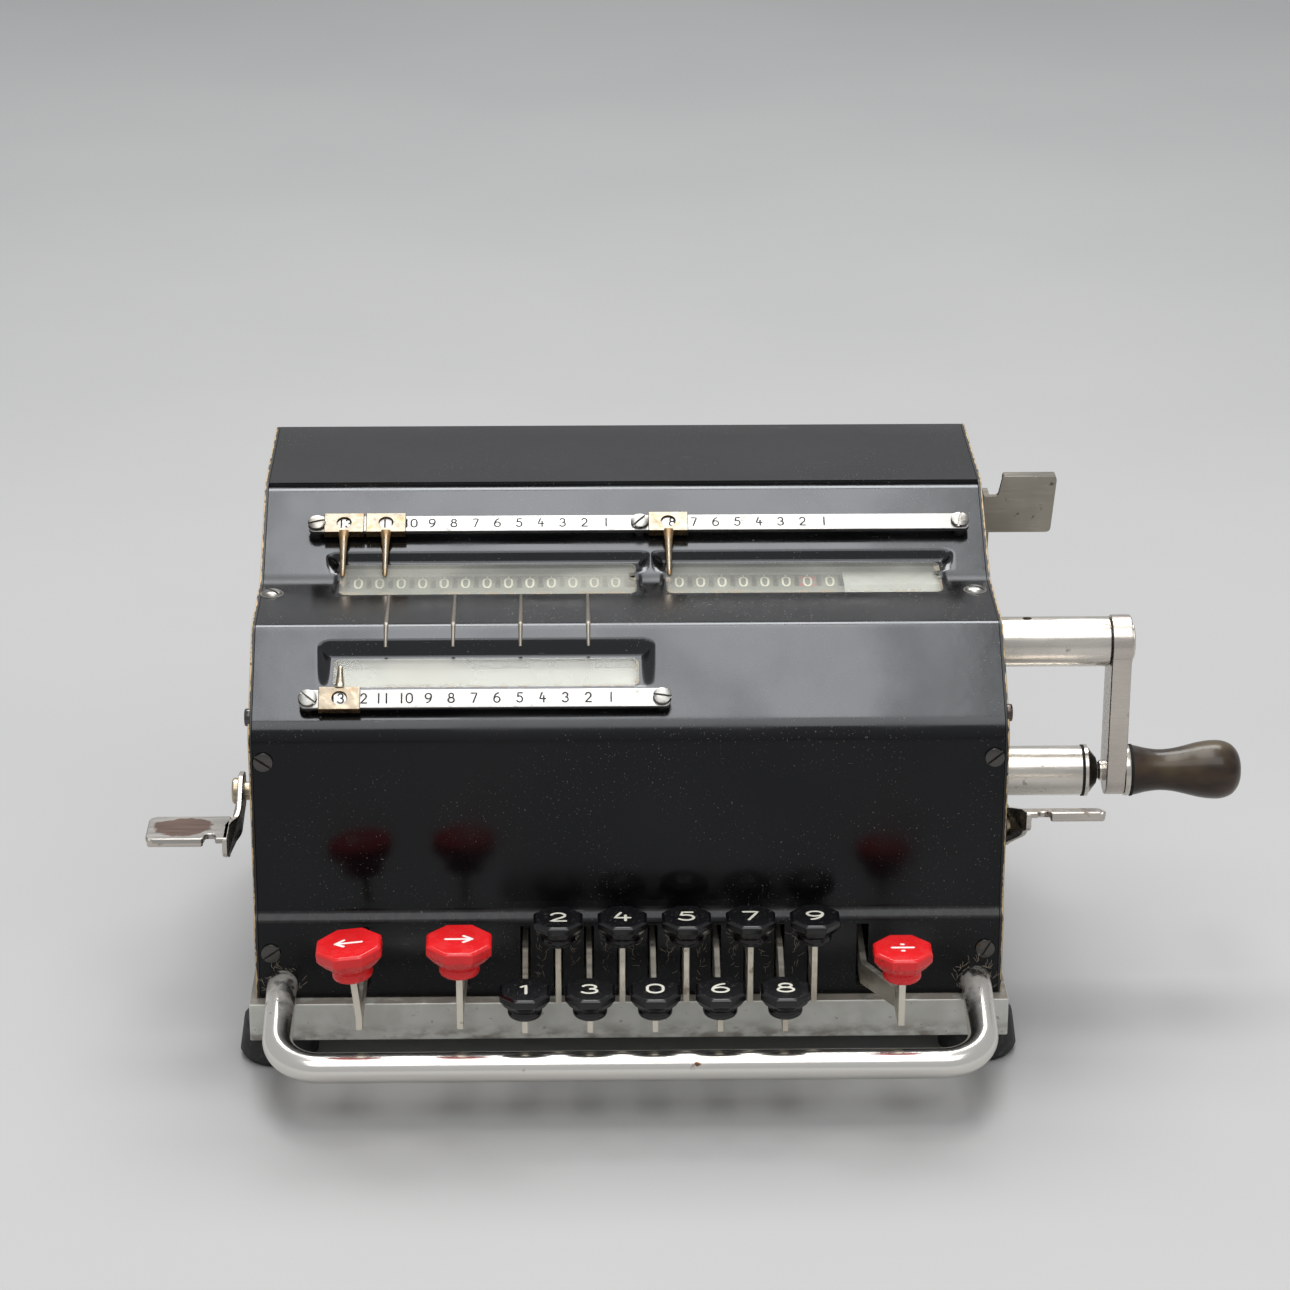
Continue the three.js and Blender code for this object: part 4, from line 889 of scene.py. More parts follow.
def sheet(name, points, columns, material, node, bend=unpressed, hidden=None):
    """A pressed cover: rows of points along its side view, carried across the columns.

    bend places a point of the plain sheet, and hidden says whether a face lies in a hole.
    """
    grid = [[bend(x, p[0], p[1]) for x in columns] for p in points]
    flat = [point for row in grid for point in row]
    faces = []
    for face in strip_faces(len(grid), len(columns)):
        middle = sum((flat[i] for i in face), Vector()) / 4
        if not (hidden and hidden(middle)):
            faces.append(face)
    mesh = tidied(mesh_of(name, (flat, faces)), outward=False)
    mesh.transform(TO_FRAME)
    made = finished(name, mesh, material, "chassis", (node,), sharp=60)
    solid = made.modifiers.new("thickness", "SOLIDIFY")
    solid.thickness = COVER_SHEET / 1000
    solid.offset = -1
    split = made.modifiers.new("crisp_edges", "EDGE_SPLIT")
    split.split_angle = math.radians(50)
    return made


def build_front_cover():
    lower = rounded([
        ((-STEP, COVER_FOOT_Z), 0), ((-STEP, SLOT_FOOT_Z), 0), ((-STEP, SLOT_TOP_Z), 0),
        ((-STEP, LEDGE_Z - STEP), 3), ((0, LEDGE_Z), 3), ((0, LEDGE_Z + 3), 0),
    ], closed=False)
    upper = divided(rounded([
        ((0, LEDGE_Z + 3), 0), ((0, BROW_Z), BROW_RADIUS), ((SHELF_FRONT_Y, SHELF_Z), SHELF_RADIUS),
        ((SHELF_BACK_Y, SHELF_Z), HOLLOW_RADIUS), ((CREST_Y - 2, TOP_Z - OVERLAP), CREST_RADIUS),
        ((CREST_Y + 2, TOP_Z - OVERLAP), 0),
    ], steps=12, closed=False), 0.4)
    far = [p for p in upper if p[1] < BROW_Z - 8]
    near = [p for p in upper if p[1] >= BROW_Z - 8]
    columns = cover_columns()
    sheet("front_cover_skin", far[::12] + near, columns, LACQUER, "front_cover", cover_point, pierced)
    sheet("lower_panel", lower, columns, PANEL, "front_cover", hidden=pierced)


def build_rear_cover():
    profile = rounded([
        ((CREST_Y + 0.15, TOP_Z), 0), ((REAR_Y, TOP_Z), REAR_RADIUS), ((REAR_Y, COVER_FOOT_Z), 0),
    ], steps=10, closed=False)
    columns = [-COVER_HALF + 2 * COVER_HALF * i / 12 for i in range(13)]
    sheet("rear_cover_skin", divided(profile, 12), columns, SATIN, "rear_cover")


def build_side_covers():
    outline = rounded([
        ((-STEP, COVER_FOOT_Z), 0), ((-STEP, LEDGE_Z - STEP), 3), ((0, LEDGE_Z), 3),
        ((0, BROW_Z), BROW_RADIUS), ((SHELF_FRONT_Y, SHELF_Z), SHELF_RADIUS),
        ((SHELF_BACK_Y, SHELF_Z), HOLLOW_RADIUS), ((CREST_Y, TOP_Z), 4),
        ((REAR_Y, TOP_Z), REAR_RADIUS), ((REAR_Y, COVER_FOOT_Z), 0),
    ], steps=8)
    for side, name in ((-1, "left_side_cover"), (1, "right_side_cover")):
        low, high = sorted((side * (CASE_HALF - SIDE_SHEET), side * CASE_HALF))
        made = piece(name + "_skin", plate(outline, "x", low, high), SATIN,
                     nodes=(name,), bevel=0.2, sharp=50)
        made.data.materials.append(RIM)
        for face in made.data.polygons:
            if abs(face.normal.x) < 0.5:
                face.material_index = 1


# ---------- Windows and what shows through them ----------


def window_frame(window):
    """Where a pane's own plane lies: local x across, y to the back, z out of the glass."""
    (front_y, front_z), (back_y, back_z) = window["front"], window["back"]
    slope = math.atan2(back_z - front_z, back_y - front_y)
    middle = (window["left"] + window["right"]) / 2
    return Matrix.Translation((middle, front_y, front_z)) @ Matrix.Rotation(slope, 4, "X")


def build_pane(name, window):
    half = (window["right"] - window["left"]) / 2 - 0.2
    depth = (Vector(window["back"]) - Vector(window["front"])).length - 0.7
    outline = rounded([(corner, PANE_CORNER) for corner in box_outline(-half, half, 0.3, depth)], steps=6)
    shape = plate(outline, "z", -PANE, 0.05)
    if window is not SETTING_WINDOW:
        notch = turned([(-3, 1.7), (3, 1.7)], (half - 0.6, depth * 0.62), "z", 24)
        shape = carved(shape, notch)
    glass = MILKY_GLASS if window is SETTING_WINDOW else GLASS
    piece(name + "_pane", moved(shape, window_frame(window)), glass, nodes=(name,),
          bevel=0.15)


def wrapped(shape, x, angle):
    """A flat figure laid round the rim of a dial."""
    centre = Matrix.Translation((x, *DIAL_AXIS)) @ Matrix.Rotation(math.radians(angle), 4, "X")
    points = []
    for point in shape[0]:
        turn = point.y / DIAL_RADIUS
        radius = DIAL_RADIUS + point.z
        points.append(centre @ Vector((point.x, radius * math.sin(turn), radius * math.cos(turn))))
    return points, shape[1]


def dial_shapes(x):
    half = DIAL_WIDTH / 2
    rim = [(x - half, 7), (x - half, DIAL_RADIUS - 0.3), (x - half + 0.3, DIAL_RADIUS),
           (x + half - 0.3, DIAL_RADIUS), (x + half, DIAL_RADIUS - 0.3), (x + half, 7)]
    drum = turned([(x - DIAL_PITCH / 2, 2.5), (x - DIAL_PITCH / 2, 7), *rim, (x + DIAL_PITCH / 2, 7),
                   (x + DIAL_PITCH / 2, 2.5)], DIAL_AXIS, "x", 40)
    digits = [
        wrapped(figure(str(n), DIAL_DIGIT, 0.62, 0.12, plain=True), x, DIAL_VIEW - 36 * n) for n in range(10)
    ]
    return drum, joined(digits)


def build_dials():
    sets = (
        ("result_dials", RESULT_DIALS["first"], RESULT_DIALS["count"], "chassis"),
        ("counter_dials", COUNTER_DIALS["first"], COUNTER_DIALS["count"], "chassis"),
        ("counter_units_dial", UNITS_DIAL_X, 1, "counter_units"),
    )
    for name, first, count, body in sets:
        drums, digits = zip(*[dial_shapes(first + i * DIAL_PITCH) for i in range(count)])
        piece(name + "_drums", joined(drums), DIAL_GREEN, body, (name,))
        piece(name + "_digits", joined(digits), DIAL_CREAM, body, (name,))


def build_dial_plates():
    """The painted plates round the dials and the red field under the counter's seventh digit."""
    back = [(75.5, 127.2), (94, 127.6), (94, 128.4), (75.5, 128)]
    mask = [(54, 125.6), (66.6, 125.9), (67.4, 126.3), (67.4, 126.6), (54, 126.2)]
    for kind, side, finish in (("plate", back, PLATE_GREEN), ("mask", mask, MASK_GREEN)):
        for name, left, right in PLATE_SPANS:
            piece(f"{name}_dial_{kind}", plate(side, "x", left, right), finish, bevel=0.1)
    blank = [(58, 124), (64, 128), (94, 128.6), (94, 129.2), (63.5, 128.6), (57.5, 124.4)]
    piece("counter_blank_plate", plate(blank, "x", 67, 100), BLANK_GREEN, bevel=0.1)
    half = 2.6
    square = box_outline(-half, half, -half, half)
    outline = divided([Vector(p) for p in square + square[:1]], 0.6)[:-1]
    seventh = COUNTER_DIALS["first"] + 6 * DIAL_PITCH
    field = wrapped(plate(outline, "z", 0.01, 0.05), seventh, DIAL_VIEW)
    piece("seventh_digit_field", field, RED_MARK)


def build_shutter():
    """The pale shutter behind the setting window, with a paler patch near its right end."""
    refined("setting_shutter", PALE_GREEN, 0.1)
    local = window_frame(SETTING_WINDOW)
    half = (SETTING_WINDOW["right"] - SETTING_WINDOW["left"]) / 2
    patch = plate(box_outline(half - 9, half - 1.2, 2, 6.6), "z", -3.6, -3.3)
    piece("setting_patch", moved(patch, local), PATCH_PAINT, bevel=0.1)


# ---------- Screws ----------


def slot_cutter(angle, width, floor):
    """A long bar, turned to an angle, that cuts a screw's slot down to its floor."""
    bar = plate(box_outline(-9, 9, -width / 2, width / 2), "z", floor, floor + 3)
    return moved(bar, Matrix.Rotation(math.radians(angle), 4, "Z"))


def slotted_screw(radius, height, slot_angle, slot_width=0.7):
    """A slotted screw head standing on the plane z = 0."""
    head = turned([(-0.6, radius), (height - 0.5, radius), (height - 0.22, radius - 0.16),
                   (height - 0.08, radius - 0.6), (height, radius * 0.45), (height + 0.04, 0.3)],
                  (0, 0), "z", 40)
    slot = slot_cutter(slot_angle, slot_width, height - 0.75)
    return carved(head, slot)


def domed_screw(slot_angle):
    """A domed screw head with a shallow slot, standing on the plane z = 0."""
    dome = [(-0.5, 3.2), (0.15, 3.2), (0.5, 3), (0.9, 2.3), (1.15, 1.3), (1.2, 0.3)]
    return carved(turned(dome, (0, 0), "z", 40), slot_cutter(slot_angle, 0.7, 0.5))


def build_case_screws():
    up = Matrix.Rotation(math.radians(90), 4, "X")
    for name, spot, angle in FRONT_SCREWS:
        shape = moved(slotted_screw(3, 0.9, angle, 0.8), Matrix.Translation(spot) @ up)
        piece(name, shape, DARK_SCREW)
    for name, x, angle in SHELF_SCREWS:
        rim = turned([(-0.3, 3.55), (0.1, 3.55), (0.16, 3.4), (0.16, 3.25)], (0, 0), "z", 40)
        place = Matrix.Translation((x, SHELF_SCREW_Y, SHELF_Z))
        piece(name, moved(domed_screw(angle), place), SCREW_METAL)
        piece(name + "_rim", moved(rim, place), WORN_RING)
    behind = Matrix.Rotation(math.radians(-90), 4, "X")
    for row, z in (("lower", 34), ("upper", 140)):
        for side, x in (("left", -100), ("right", 100)):
            place = Matrix.Translation((x, REAR_Y, z)) @ behind
            piece(f"rear_{row}_{side}_screw", moved(slotted_screw(3, 0.9, x + z, 0.8), place), DARK_SCREW)
    for name, side in (("left_side_screw", -1), ("right_side_screw", 1)):
        turn = Matrix.Translation((side * CASE_HALF, 5, 110)) @ Matrix.Rotation(side * math.pi / 2, 4, "Y")
        piece(name, moved(slotted_screw(2.6, 1.1, 30), turn), DARK_SCREW)


# ---------- Scale bars and markers ----------


def slope_frame(bar):
    """Where a bar lies: local x across, y up the slope, z out of the slope."""
    y, z = bar["crest"]
    slope = bar["slope"]
    spot = (0, y - bar["down"] * math.cos(slope), z - bar["down"] * math.sin(slope))
    return Matrix.Translation(spot) @ Matrix.Rotation(slope, 4, "X")


def build_bar(name, bar, numbers, seed_angle):
    half = BAR_WIDTH / 2
    local = slope_frame(bar)
    corners = box_outline(bar["left"], bar["right"], -half, half)
    flat = plate(rounded([(corner, 1.6) for corner in corners]), "z", BAR_LIFT, BAR_TOP)
    posts = [turned([(-0.2, 2.3), (BAR_LIFT + 0.2, 2.3)], (x, 0), "z", 24) for x in bar["screws"]]
    piece(name + "_skin", moved(flat, local), BAR_METAL, nodes=(name,), bevel=0.25)
    piece(name + "_posts", moved(joined(posts), local), SCREW_METAL, nodes=(name,))
    marks = []
    for n, x in numbers:
        mark = figure(str(n), BAR_DIGIT, 0.46, 0.08, plain=True)
        marks.append(moved(mark, Matrix.Translation((x, 0.1, BAR_TOP + 0.01))))
    piece(name + "_numerals", moved(joined(marks), local), INK)
    for i, x in enumerate(bar["screws"]):
        head = moved(slotted_screw(2.75, 1.3, seed_angle + 31 * i), Matrix.Translation((x, 0, BAR_TOP)))
        piece(f"{name}_screw_{i + 1}", moved(head, local), SCREW_METAL)


def scale(first, count):
    """The numbers of a scale that runs to the left, each with its place along the bar."""
    return [(n, first - SCALE_PITCH * (n - 1)) for n in range(1, count + 1)]


def build_bars():
    upper = scale(SCALE_ONES["result"], 13) + scale(SCALE_ONES["counter"], 8)
    build_bar("upper_scale_bar", UPPER_BAR, upper, 15)
    build_bar("lower_scale_bar", LOWER_BAR, scale(SCALE_ONES["setting"], 13), -40)


def build_marker(number, x, bar, pointer):
    """A sleeve with a round hole over the numeral, and a tapered pointer towards the window."""
    half = BAR_WIDTH / 2 + MARKER_WALL
    low, high = BAR_LIFT - MARKER_WALL, BAR_TOP + MARKER_WALL
    end = MARKER_LENGTH / 2
    wall = 0.5
    inside = box_outline(x - end - 1, x + end + 1, -half + wall, half - wall)
    sleeve = carved(
        plate(box_outline(x - end, x + end, -half, half), "z", low, high),
        plate(inside, "z", low + wall, high - wall),
        turned([(high - 1, 2.15), (high + 1, 2.15)], (x, 0), "z", 32),
    )
    side = math.copysign(1, pointer)
    root = side * (half - 0.6)
    reach = pointer - root
    shares = (0, 0.06, 0.16, 0.35, 0.6, 0.85, 0.96, 1)
    widths = (2.1, 1.75, 1.4, 1.15, 0.95, 0.8, 0.75, 0.35)
    falls = (0, -0.1, -0.3, -0.6, -0.9, -1.2, -1.3, -1.35)
    level = (low + high) / 2 + 0.5
    path = [(x, root + reach * share, level + fall) for share, fall in zip(shares, falls)]
    needle = swept(path, circle(1, 14, 0.62), widths)
    local = slope_frame(bar)
    name = f"decimal_marker_{number}"
    body = f"marker_{number}"
    piece(name + "_sleeve", moved(sleeve, local), WORN_BRASS, body, (name,), bevel=0.22)
    piece(name + "_pointer", moved(needle, local), WORN_BRASS, body, (name,), sharp=60)


def build_decimal_wires():
    """Flat wires that carry each decimal place from the upper windows down to the lower one."""
    foot = (SHELF_FRONT_Y - WIRE_FALL * math.cos(LOWER_SLOPE),
            SHELF_Z - WIRE_FALL * math.sin(LOWER_SLOPE))
    side = rounded([
        ((WIRE_BACK_Y, SHELF_Z + 0.35), 0), ((SHELF_FRONT_Y, SHELF_Z + 0.35), 3.2),
        ((foot[0], foot[1] + 0.3), 0),
    ], steps=8, closed=False)
    for i, x in enumerate(DECIMAL_WIRES):
        path = [(x, p[0], p[1]) for p in side]
        band = [(-0.55, -0.3), (0.55, -0.3), (0.55, 0.15), (0.25, 0.32), (-0.25, 0.32), (-0.55, 0.15)]
        sizes = [0.85] + [1.2] * (len(path) - 2) + [0.8]
        piece(f"decimal_wire_{i + 1}", swept(path, band, sizes), WIRE_METAL, sharp=50)


# ---------- Base, feet and handle ----------


def build_base():
    refined("base_tray", BASE_STEEL, 0.5)
    for name in ("front_left_foot", "front_right_foot", "rear_left_foot", "rear_right_foot"):
        refined(name, RUBBER, 1.2, 40)


def scatter(number):
    """A repeatable random-looking share between 0 and 1."""
    return (math.sin(number * 12.9898 + 4.1) * 43758.5453) % 1


def fibre(seed, x, z, length):
    """One curled hair lying against the lower panel."""
    heading = math.pi / 2 + 2.2 * (scatter(seed) - 0.5)
    curl = 3.4 * (scatter(seed + 500) - 0.5)
    lift = 0.15 + 0.9 * scatter(seed + 900)
    path = []
    spot = Vector((x, -STEP - 0.1, z))
    for i in range(9):
        path.append(spot + Vector((0, -lift * math.sin(math.pi * i / 8), 0)))
        spot = spot + Vector((math.cos(heading), 0, math.sin(heading))) * length / 8
        heading += curl / 8
    return swept(path, circle(0.045, 5))


def build_lint():
    """The fluff caught between the key slots and round the feet of the handle."""
    slots = [
        fibre(i, GAP_FIRST + GAP_PITCH * (i % 9) + 2.2 * (scatter(i + 40) - 0.5),
              26 + 17 * math.sqrt(scatter(i + 70)), 1.2 + 1.4 * scatter(i + 90)) for i in range(150)
    ]
    piece("slot_lint", joined(slots), LINT)
    feet = []
    for i in range(90):
        side = 1 if i % 2 else -1
        angle = 2 * math.pi * scatter(i + 300)
        reach = HANDLE_RADIUS + 0.2 + 1.4 * scatter(i + 330)
        spot = (side * HANDLE_HALF + reach * math.cos(angle), HANDLE_LEG_Z + reach * math.sin(angle))
        feet.append(fibre(i + 350, *spot, 1.4 + 1.4 * scatter(i + 370)))
    piece("handle_lint", joined(feet), LINT)


def build_handle():
    """The carrying handle: one rod from inside the case, down and forward, across and back."""
    legs = []
    for side in (-1, 1):
        x = side * HANDLE_HALF
        legs.append([
            ((x, HANDLE_ROOT_Y, HANDLE_LEG_Z), 0), ((x, HANDLE_ELBOW_Y, HANDLE_LEG_Z), HANDLE_ELBOW),
            ((x, HANDLE_BAR_Y, HANDLE_BAR_Z), HANDLE_BEND),
        ])
    corners = legs[0] + legs[1][::-1]
    rod = swept(divided(rounded(corners, steps=14, closed=False), 12), circle(HANDLE_RADIUS, 32))
    piece("carry_handle_rod", rod, CHROME, nodes=("carry_handle",), sharp=60)


# ---------- Keys ----------


def cap_shape(cap):
    """A key cap below the plane z = 0: an eight-sided head that flows into a round, flared neck."""
    corner = cap["across"] / 2 / math.cos(math.pi / 8)
    waist, head, height = cap["waist"], cap["head"], cap["height"]
    slope = corner - waist
    profile = [
        (-height - 0.5, waist - 0.9, 0), (-height, waist - 0.2, 0), (-height + 0.6, waist + 0.15, 0.1),
        (-height + 1.4, waist + 0.1, 0.2), (-head - slope * 0.62, waist - 0.25, 0.3),
        (-head - slope * 0.4, waist + slope * 0.14, 0.5), (-head - slope * 0.1, waist + slope * 0.5, 0.85),
        (-head * 0.72, corner - 0.5, 1), (-head * 0.6, corner, 1), (-0.7, corner, 1), (0, corner - 0.8, 1),
    ]
    sides = 48
    rings = []
    for z, radius, square in profile:
        ring = []
        for i in range(sides):
            angle = 2 * math.pi * i / sides
            off = (angle % (math.pi / 4)) - math.pi / 8
            flat = radius * math.cos(math.pi / 8) / math.cos(off)
            r = radius * (1 - square) + flat * square
            ring.append(Vector((r * math.cos(angle), r * math.sin(angle), z)))
        rings.append(ring)
    return moved(tube_of(rings), Matrix.Rotation(math.pi / 8, 4, "Z"))


def cap_frame(x, y, lean=0):
    """Where a cap stands, tilted to the operator and leaning sideways. Local z = 0 is its foot."""
    tilt = Matrix.Rotation(math.radians(CAP_TILT), 4, "X")
    return Matrix.Translation((x, y, 0)) @ Matrix.Rotation(math.radians(lean), 4, "Y") @ tilt


def tail_side(top, foot):
    """Side view of the part of a lever inside the case, round the eye on the pivot rod."""
    y, z = PIVOT
    return [
        (2, foot), (y - 4, z - 4.4), (y + 3, z - 4), (y + 9, z - 1.5),
        (y + 9, z + 1.5), (y + 3, z + 3.6), (y - 4, z + 4.4), (2, top),
    ]


def front_row_side(row):
    y, foot = row["y"], row["top"] - CAP["height"]
    return tail_side(39.6, 30.6) + [
        (-STEP, 40), (-8, 39.8), (-25, foot - 1.2), (y + 2.6, foot - 0.2), (y + 2.6, foot + 3),
        (y - 2.6, foot + 3), (y - 2.6, foot - 5), (-29, foot - 5.2), (-12, 29.4), (-STEP, 30),
    ]


def back_row_side(row):
    y, foot = row["y"], row["top"] - CAP["height"]
    return tail_side(34.8, 27.8) + [
        (-STEP, 33.6), (y + 3.6, 33), (y + 2, 35), (y + 2, foot + 3),
        (y - 2, foot + 3), (y - 2, 25.4), (y + 3, 25.4), (-STEP - 4, 27.6),
    ]


def build_digit_keys():
    for row, side in ((FRONT_ROW, front_row_side), (BACK_ROW, back_row_side)):
        for i, label in enumerate(row["labels"]):
            x = row["first"] + i * KEY_PITCH
            name = f"key_{label}"
            place = Matrix.Translation((0, 0, row["top"])) @ cap_frame(x, row["y"])
            lever = plate(side(row), "x", x - LEVER / 2, x + LEVER / 2)
            cap = moved(cap_shape(CAP), place)
            numeral = moved(figure(label, KEY_DIGIT, 0.85, 0.12), place)
            piece(name + "_lever", lever, LEVER_METAL, name, (name,), bevel=0.2)
            piece(name + "_cap", cap, BLACK_KEY, name, (name,), bevel=0.3)
            piece(name + "_numeral", numeral, CREAM, name, (name,))


def build_red_keys():
    for key in RED_KEYS:
        name = key["name"]
        place = Matrix.Translation((0, 0, key["top"])) @ cap_frame(key["x"], RED_Y, -key["lean"])
        cap = moved(cap_shape(key["cap"]), place)
        sign = moved(figure(key["sign"], KEY_SIGN, 0.95, 0.12), place)
        piece(name + "_cap_skin", cap, RED_KEY, name, (name + "_cap",), bevel=0.35)
        piece(name + "_sign", sign, WHITE, name, (name + "_cap",))
        refined(name + "_lever", LEVER_METAL, 0.25)


# ---------- Crank ----------


def past(start, profile):
    """A profile whose positions are counted from a start."""
    return [(start + position, radius) for position, radius in profile]


def spun(name, profile, axis, material, nodes, body="chassis", sides=72, sharp=32):
    piece(name, turned(profile, axis, "x", sides), material, body, nodes, sharp=sharp)


def build_crank_bearing(axis):
    tube = turned([(104, TUBE_RADIUS), (TUBE_END_X - 0.3, TUBE_RADIUS), (TUBE_END_X, TUBE_RADIUS - 0.3)],
                  axis, "x", 72)
    oil_hole = turned([(CRANK_Z + 4, 1.4), (CRANK_Z + 12, 1.4)], (124.5, CRANK_Y), "z", 24)
    piece("bearing_tube", carved(tube, oil_hole), NICKEL, nodes=("crank_bearing_tube",))
    spun("tube_joint", [(TUBE_END_X - 0.2, 7.2), (ARM_X + 0.1, 7.2)], axis, HOLE_BLACK, (), sides=48)


def build_rest_post(axis):
    """The post under the bearing tube, with the cone that the pin of the grip drops into."""
    nodes = ("crank_rest_post",)
    post = [(104, TUBE_RADIUS), (REST_END_X - 5.1, TUBE_RADIUS), (REST_END_X - 5, 7.5)]
    spun("rest_post", post, axis, NICKEL, nodes)
    spun("rest_post_washer", past(REST_END_X, [(-5, 8.1), (-4.3, 8.1)]), axis, HOLE_BLACK, nodes, sides=48)
    ring = past(REST_END_X, [(-4.3, 7.9), (-4.2, 8.2), (-3.2, 8.2), (-2.9, 7.7)])
    spun("rest_post_ring", ring, axis, NICKEL, nodes)
    cone = past(REST_END_X, [(-2.9, 7.5), (-0.3, 4.2), (0, 3.2)])
    spun("rest_post_cone", cone, axis, DARK_METAL, nodes)


def build_crank_arm(axis):
    nodes = ("crank_arm",)
    narrow = ARM_RADIUS - 0.7
    top = arc(CRANK_Y, CRANK_Z, narrow, narrow, 0, 180, 24)
    bottom = arc(CRANK_Y, GRIP_Z, narrow, narrow, 180, 360, 24)
    arm = plate(top + bottom, "x", ARM_X, ARM_END_X - 0.2)
    piece("arm", arm, STEEL, "crank", nodes, bevel=0.45)
    hub = [(ARM_X - 0.1, ARM_RADIUS - 0.4), (ARM_X + 0.3, ARM_RADIUS), (ARM_END_X - 0.4, ARM_RADIUS),
           (ARM_END_X, ARM_RADIUS - 0.4)]
    spun("arm_hub", hub, axis, STEEL, nodes, "crank")
    shaft_end = past(ARM_END_X, [(-1, 6), (0.5, 6), (1, 5.2), (1.2, 3)])
    spun("shaft_end", shaft_end, axis, NICKEL, ("crank_shaft",), "crank", sides=48)


def build_grip(axis):
    """The pin through the arm's foot, and the waisted grip of horn that spins on it."""
    neck = past(REST_END_X, [(0.3, 2.6), (0.9, 3.2), (1.3, 3.2), (1.4, 2.7), (1.7, 2.7), (1.8, 3.3)])
    neck.append((ARM_X + 0.4, 3.3))
    spun("grip_pin", neck, axis, NICKEL, ("grip_spindle",), "crank", sides=48)
    ferrule = past(ARM_END_X, [(-0.2, 8), (1, 8.1), (1.5, 7.9)])
    spun("grip_ferrule", ferrule, axis, NICKEL, ("grip_spindle",), "crank")
    collar = [*past(ARM_END_X, [(1.55, 7.9), (1.6, 8.2)]), *past(GRIP_START_X, [(0.3, 8.2), (0.4, 7.8)])]
    spun("grip_collar", collar, axis, HOLE_BLACK, ("crank_grip",), "grip", 64)
    knots = ((0, 8.05), (2, 7.6), (5, 6.9), (9, 6.45), (13, 6.75), (17, 7.6), (21, 8.6), (25, 9.2),
             (28.5, 9.15), (31.5, 8.1), (33.4, 6.2), (34.4, 4), (34.8, 1.5))
    profile = past(GRIP_START_X, catmull([Vector(knot) for knot in knots], 5))
    spun("grip", profile, axis, HORN, ("crank_grip",), "grip", sharp=60)


def build_crank():
    axis, grip_axis = (CRANK_Y, CRANK_Z), (CRANK_Y, GRIP_Z)
    build_crank_bearing(axis)
    build_rest_post(grip_axis)
    build_crank_arm(axis)
    build_grip(grip_axis)


def catmull(points, steps):
    """A smooth line through every point of a list."""
    out = []
    for i in range(len(points) - 1):
        before, after = points[max(i - 1, 0)], points[min(i + 2, len(points) - 1)]
        start, end = points[i], points[i + 1]
        for k in range(steps):
            t = k / steps
            once = (end - before) * t
            squared = (2 * before - 5 * start + 4 * end - after) * t ** 2
            cubed = (3 * start - before - 3 * end + after) * t ** 3
            out.append(0.5 * (2 * start + once + squared + cubed))
    return out + [points[-1]]


# ---------- Clearing levers and inner parts ----------


def side_lever(name, side, pivot, arm_x, bend_x, end_x, tab_front, tilt):
    """An arm joggled outward from its boss, and a finger tab with a relief notch at its root."""
    (pivot_y, pivot_z), (tab_y, tab_z) = pivot, tab_front
    back_y = tab_y + TAB_DEPTH
    back_z = tab_z - TAB_DEPTH * math.sin(math.radians(tilt))
    outline = rounded([
        ((pivot_y + 5, pivot_z - 5), 3.5), ((pivot_y + 5, pivot_z + 5), 3.5), ((pivot_y - 4, pivot_z + 7), 4),
        ((back_y, back_z + 0.9), 3), ((tab_y, tab_z + 0.9), 1), ((tab_y, tab_z - 5), 2),
        ((tab_y + 8, tab_z - 9), 4), ((back_y + 4, pivot_z - 7), 3),
    ])
    edge = divided([Vector(p) for p in outline + outline[:1]], 1.5)[:-1]
    flat, faces = plate(edge, "x", -TAB_HALF, TAB_HALF)
    arm = []
    for point in flat:
        share = min(max((back_y + 3 - point.y) / (back_y - tab_y - 7), 0), 1)
        share = share * share * (3 - 2 * share)
        arm.append(Vector((side * (arm_x + (bend_x - arm_x) * share) + point.x, point.y, point.z)))
    corners = [((bend_x - TAB_HALF, 0.2), 0.5), ((bend_x + 3, 0.2), 0.5), ((bend_x + 3, 3.6), 1.4),
               ((bend_x + 6.2, 3.6), 1.4), ((bend_x + 6.2, 0), 1.4), ((end_x, 0), 2.6),
               ((end_x, TAB_DEPTH), 3), ((bend_x - TAB_HALF, TAB_DEPTH), 0.8)]
    tab = plate([(side * x, y) for x, y in rounded(corners)], "z", -TAB_HALF, TAB_HALF)
    lip_outline = box_outline(bend_x + 6.6, end_x - 0.5, 0.05, 1.8)
    lip = plate([(side * x, y) for x, y in lip_outline], "z", -2, TAB_HALF - 0.05)
    turn = Matrix.Translation((0, tab_y, tab_z)) @ Matrix.Rotation(math.radians(-tilt), 4, "X")
    node, body = name + "_clearing_lever", name + "_clearing"
    worn = WORN_TAB if side < 0 else TAB_METAL
    piece(node + "_arm", (arm, faces), TAB_METAL, body, nodes=(node,), bevel=0.4)
    piece(node + "_tab", moved(tab, turn), worn, body, nodes=(node,), bevel=0.6)
    piece(node + "_lip", moved(lip, turn), TAB_METAL, body, nodes=(node,), bevel=0.8)
    low, high = sorted((side * (CASE_HALF - 3), side * arm_x))
    stud = turned([(low, 2.9), (high, 2.9)], pivot, "x", 32)
    out = side * arm_x
    boss = turned([(out, 4.1), (out + side * 2.6, 4.1), (out + side * 3.1, 3.5)], pivot, "x", 40)
    piece(node + "_boss", joined([stud, boss]), GOLDEN, body, nodes=(node,), bevel=0.15)


def build_clearing_levers():
    side_lever(**LEFT_LEVER)
    side_lever(**RIGHT_LEVER)
    refined("upper_right_clearing_lever", TARNISHED, 0.75)


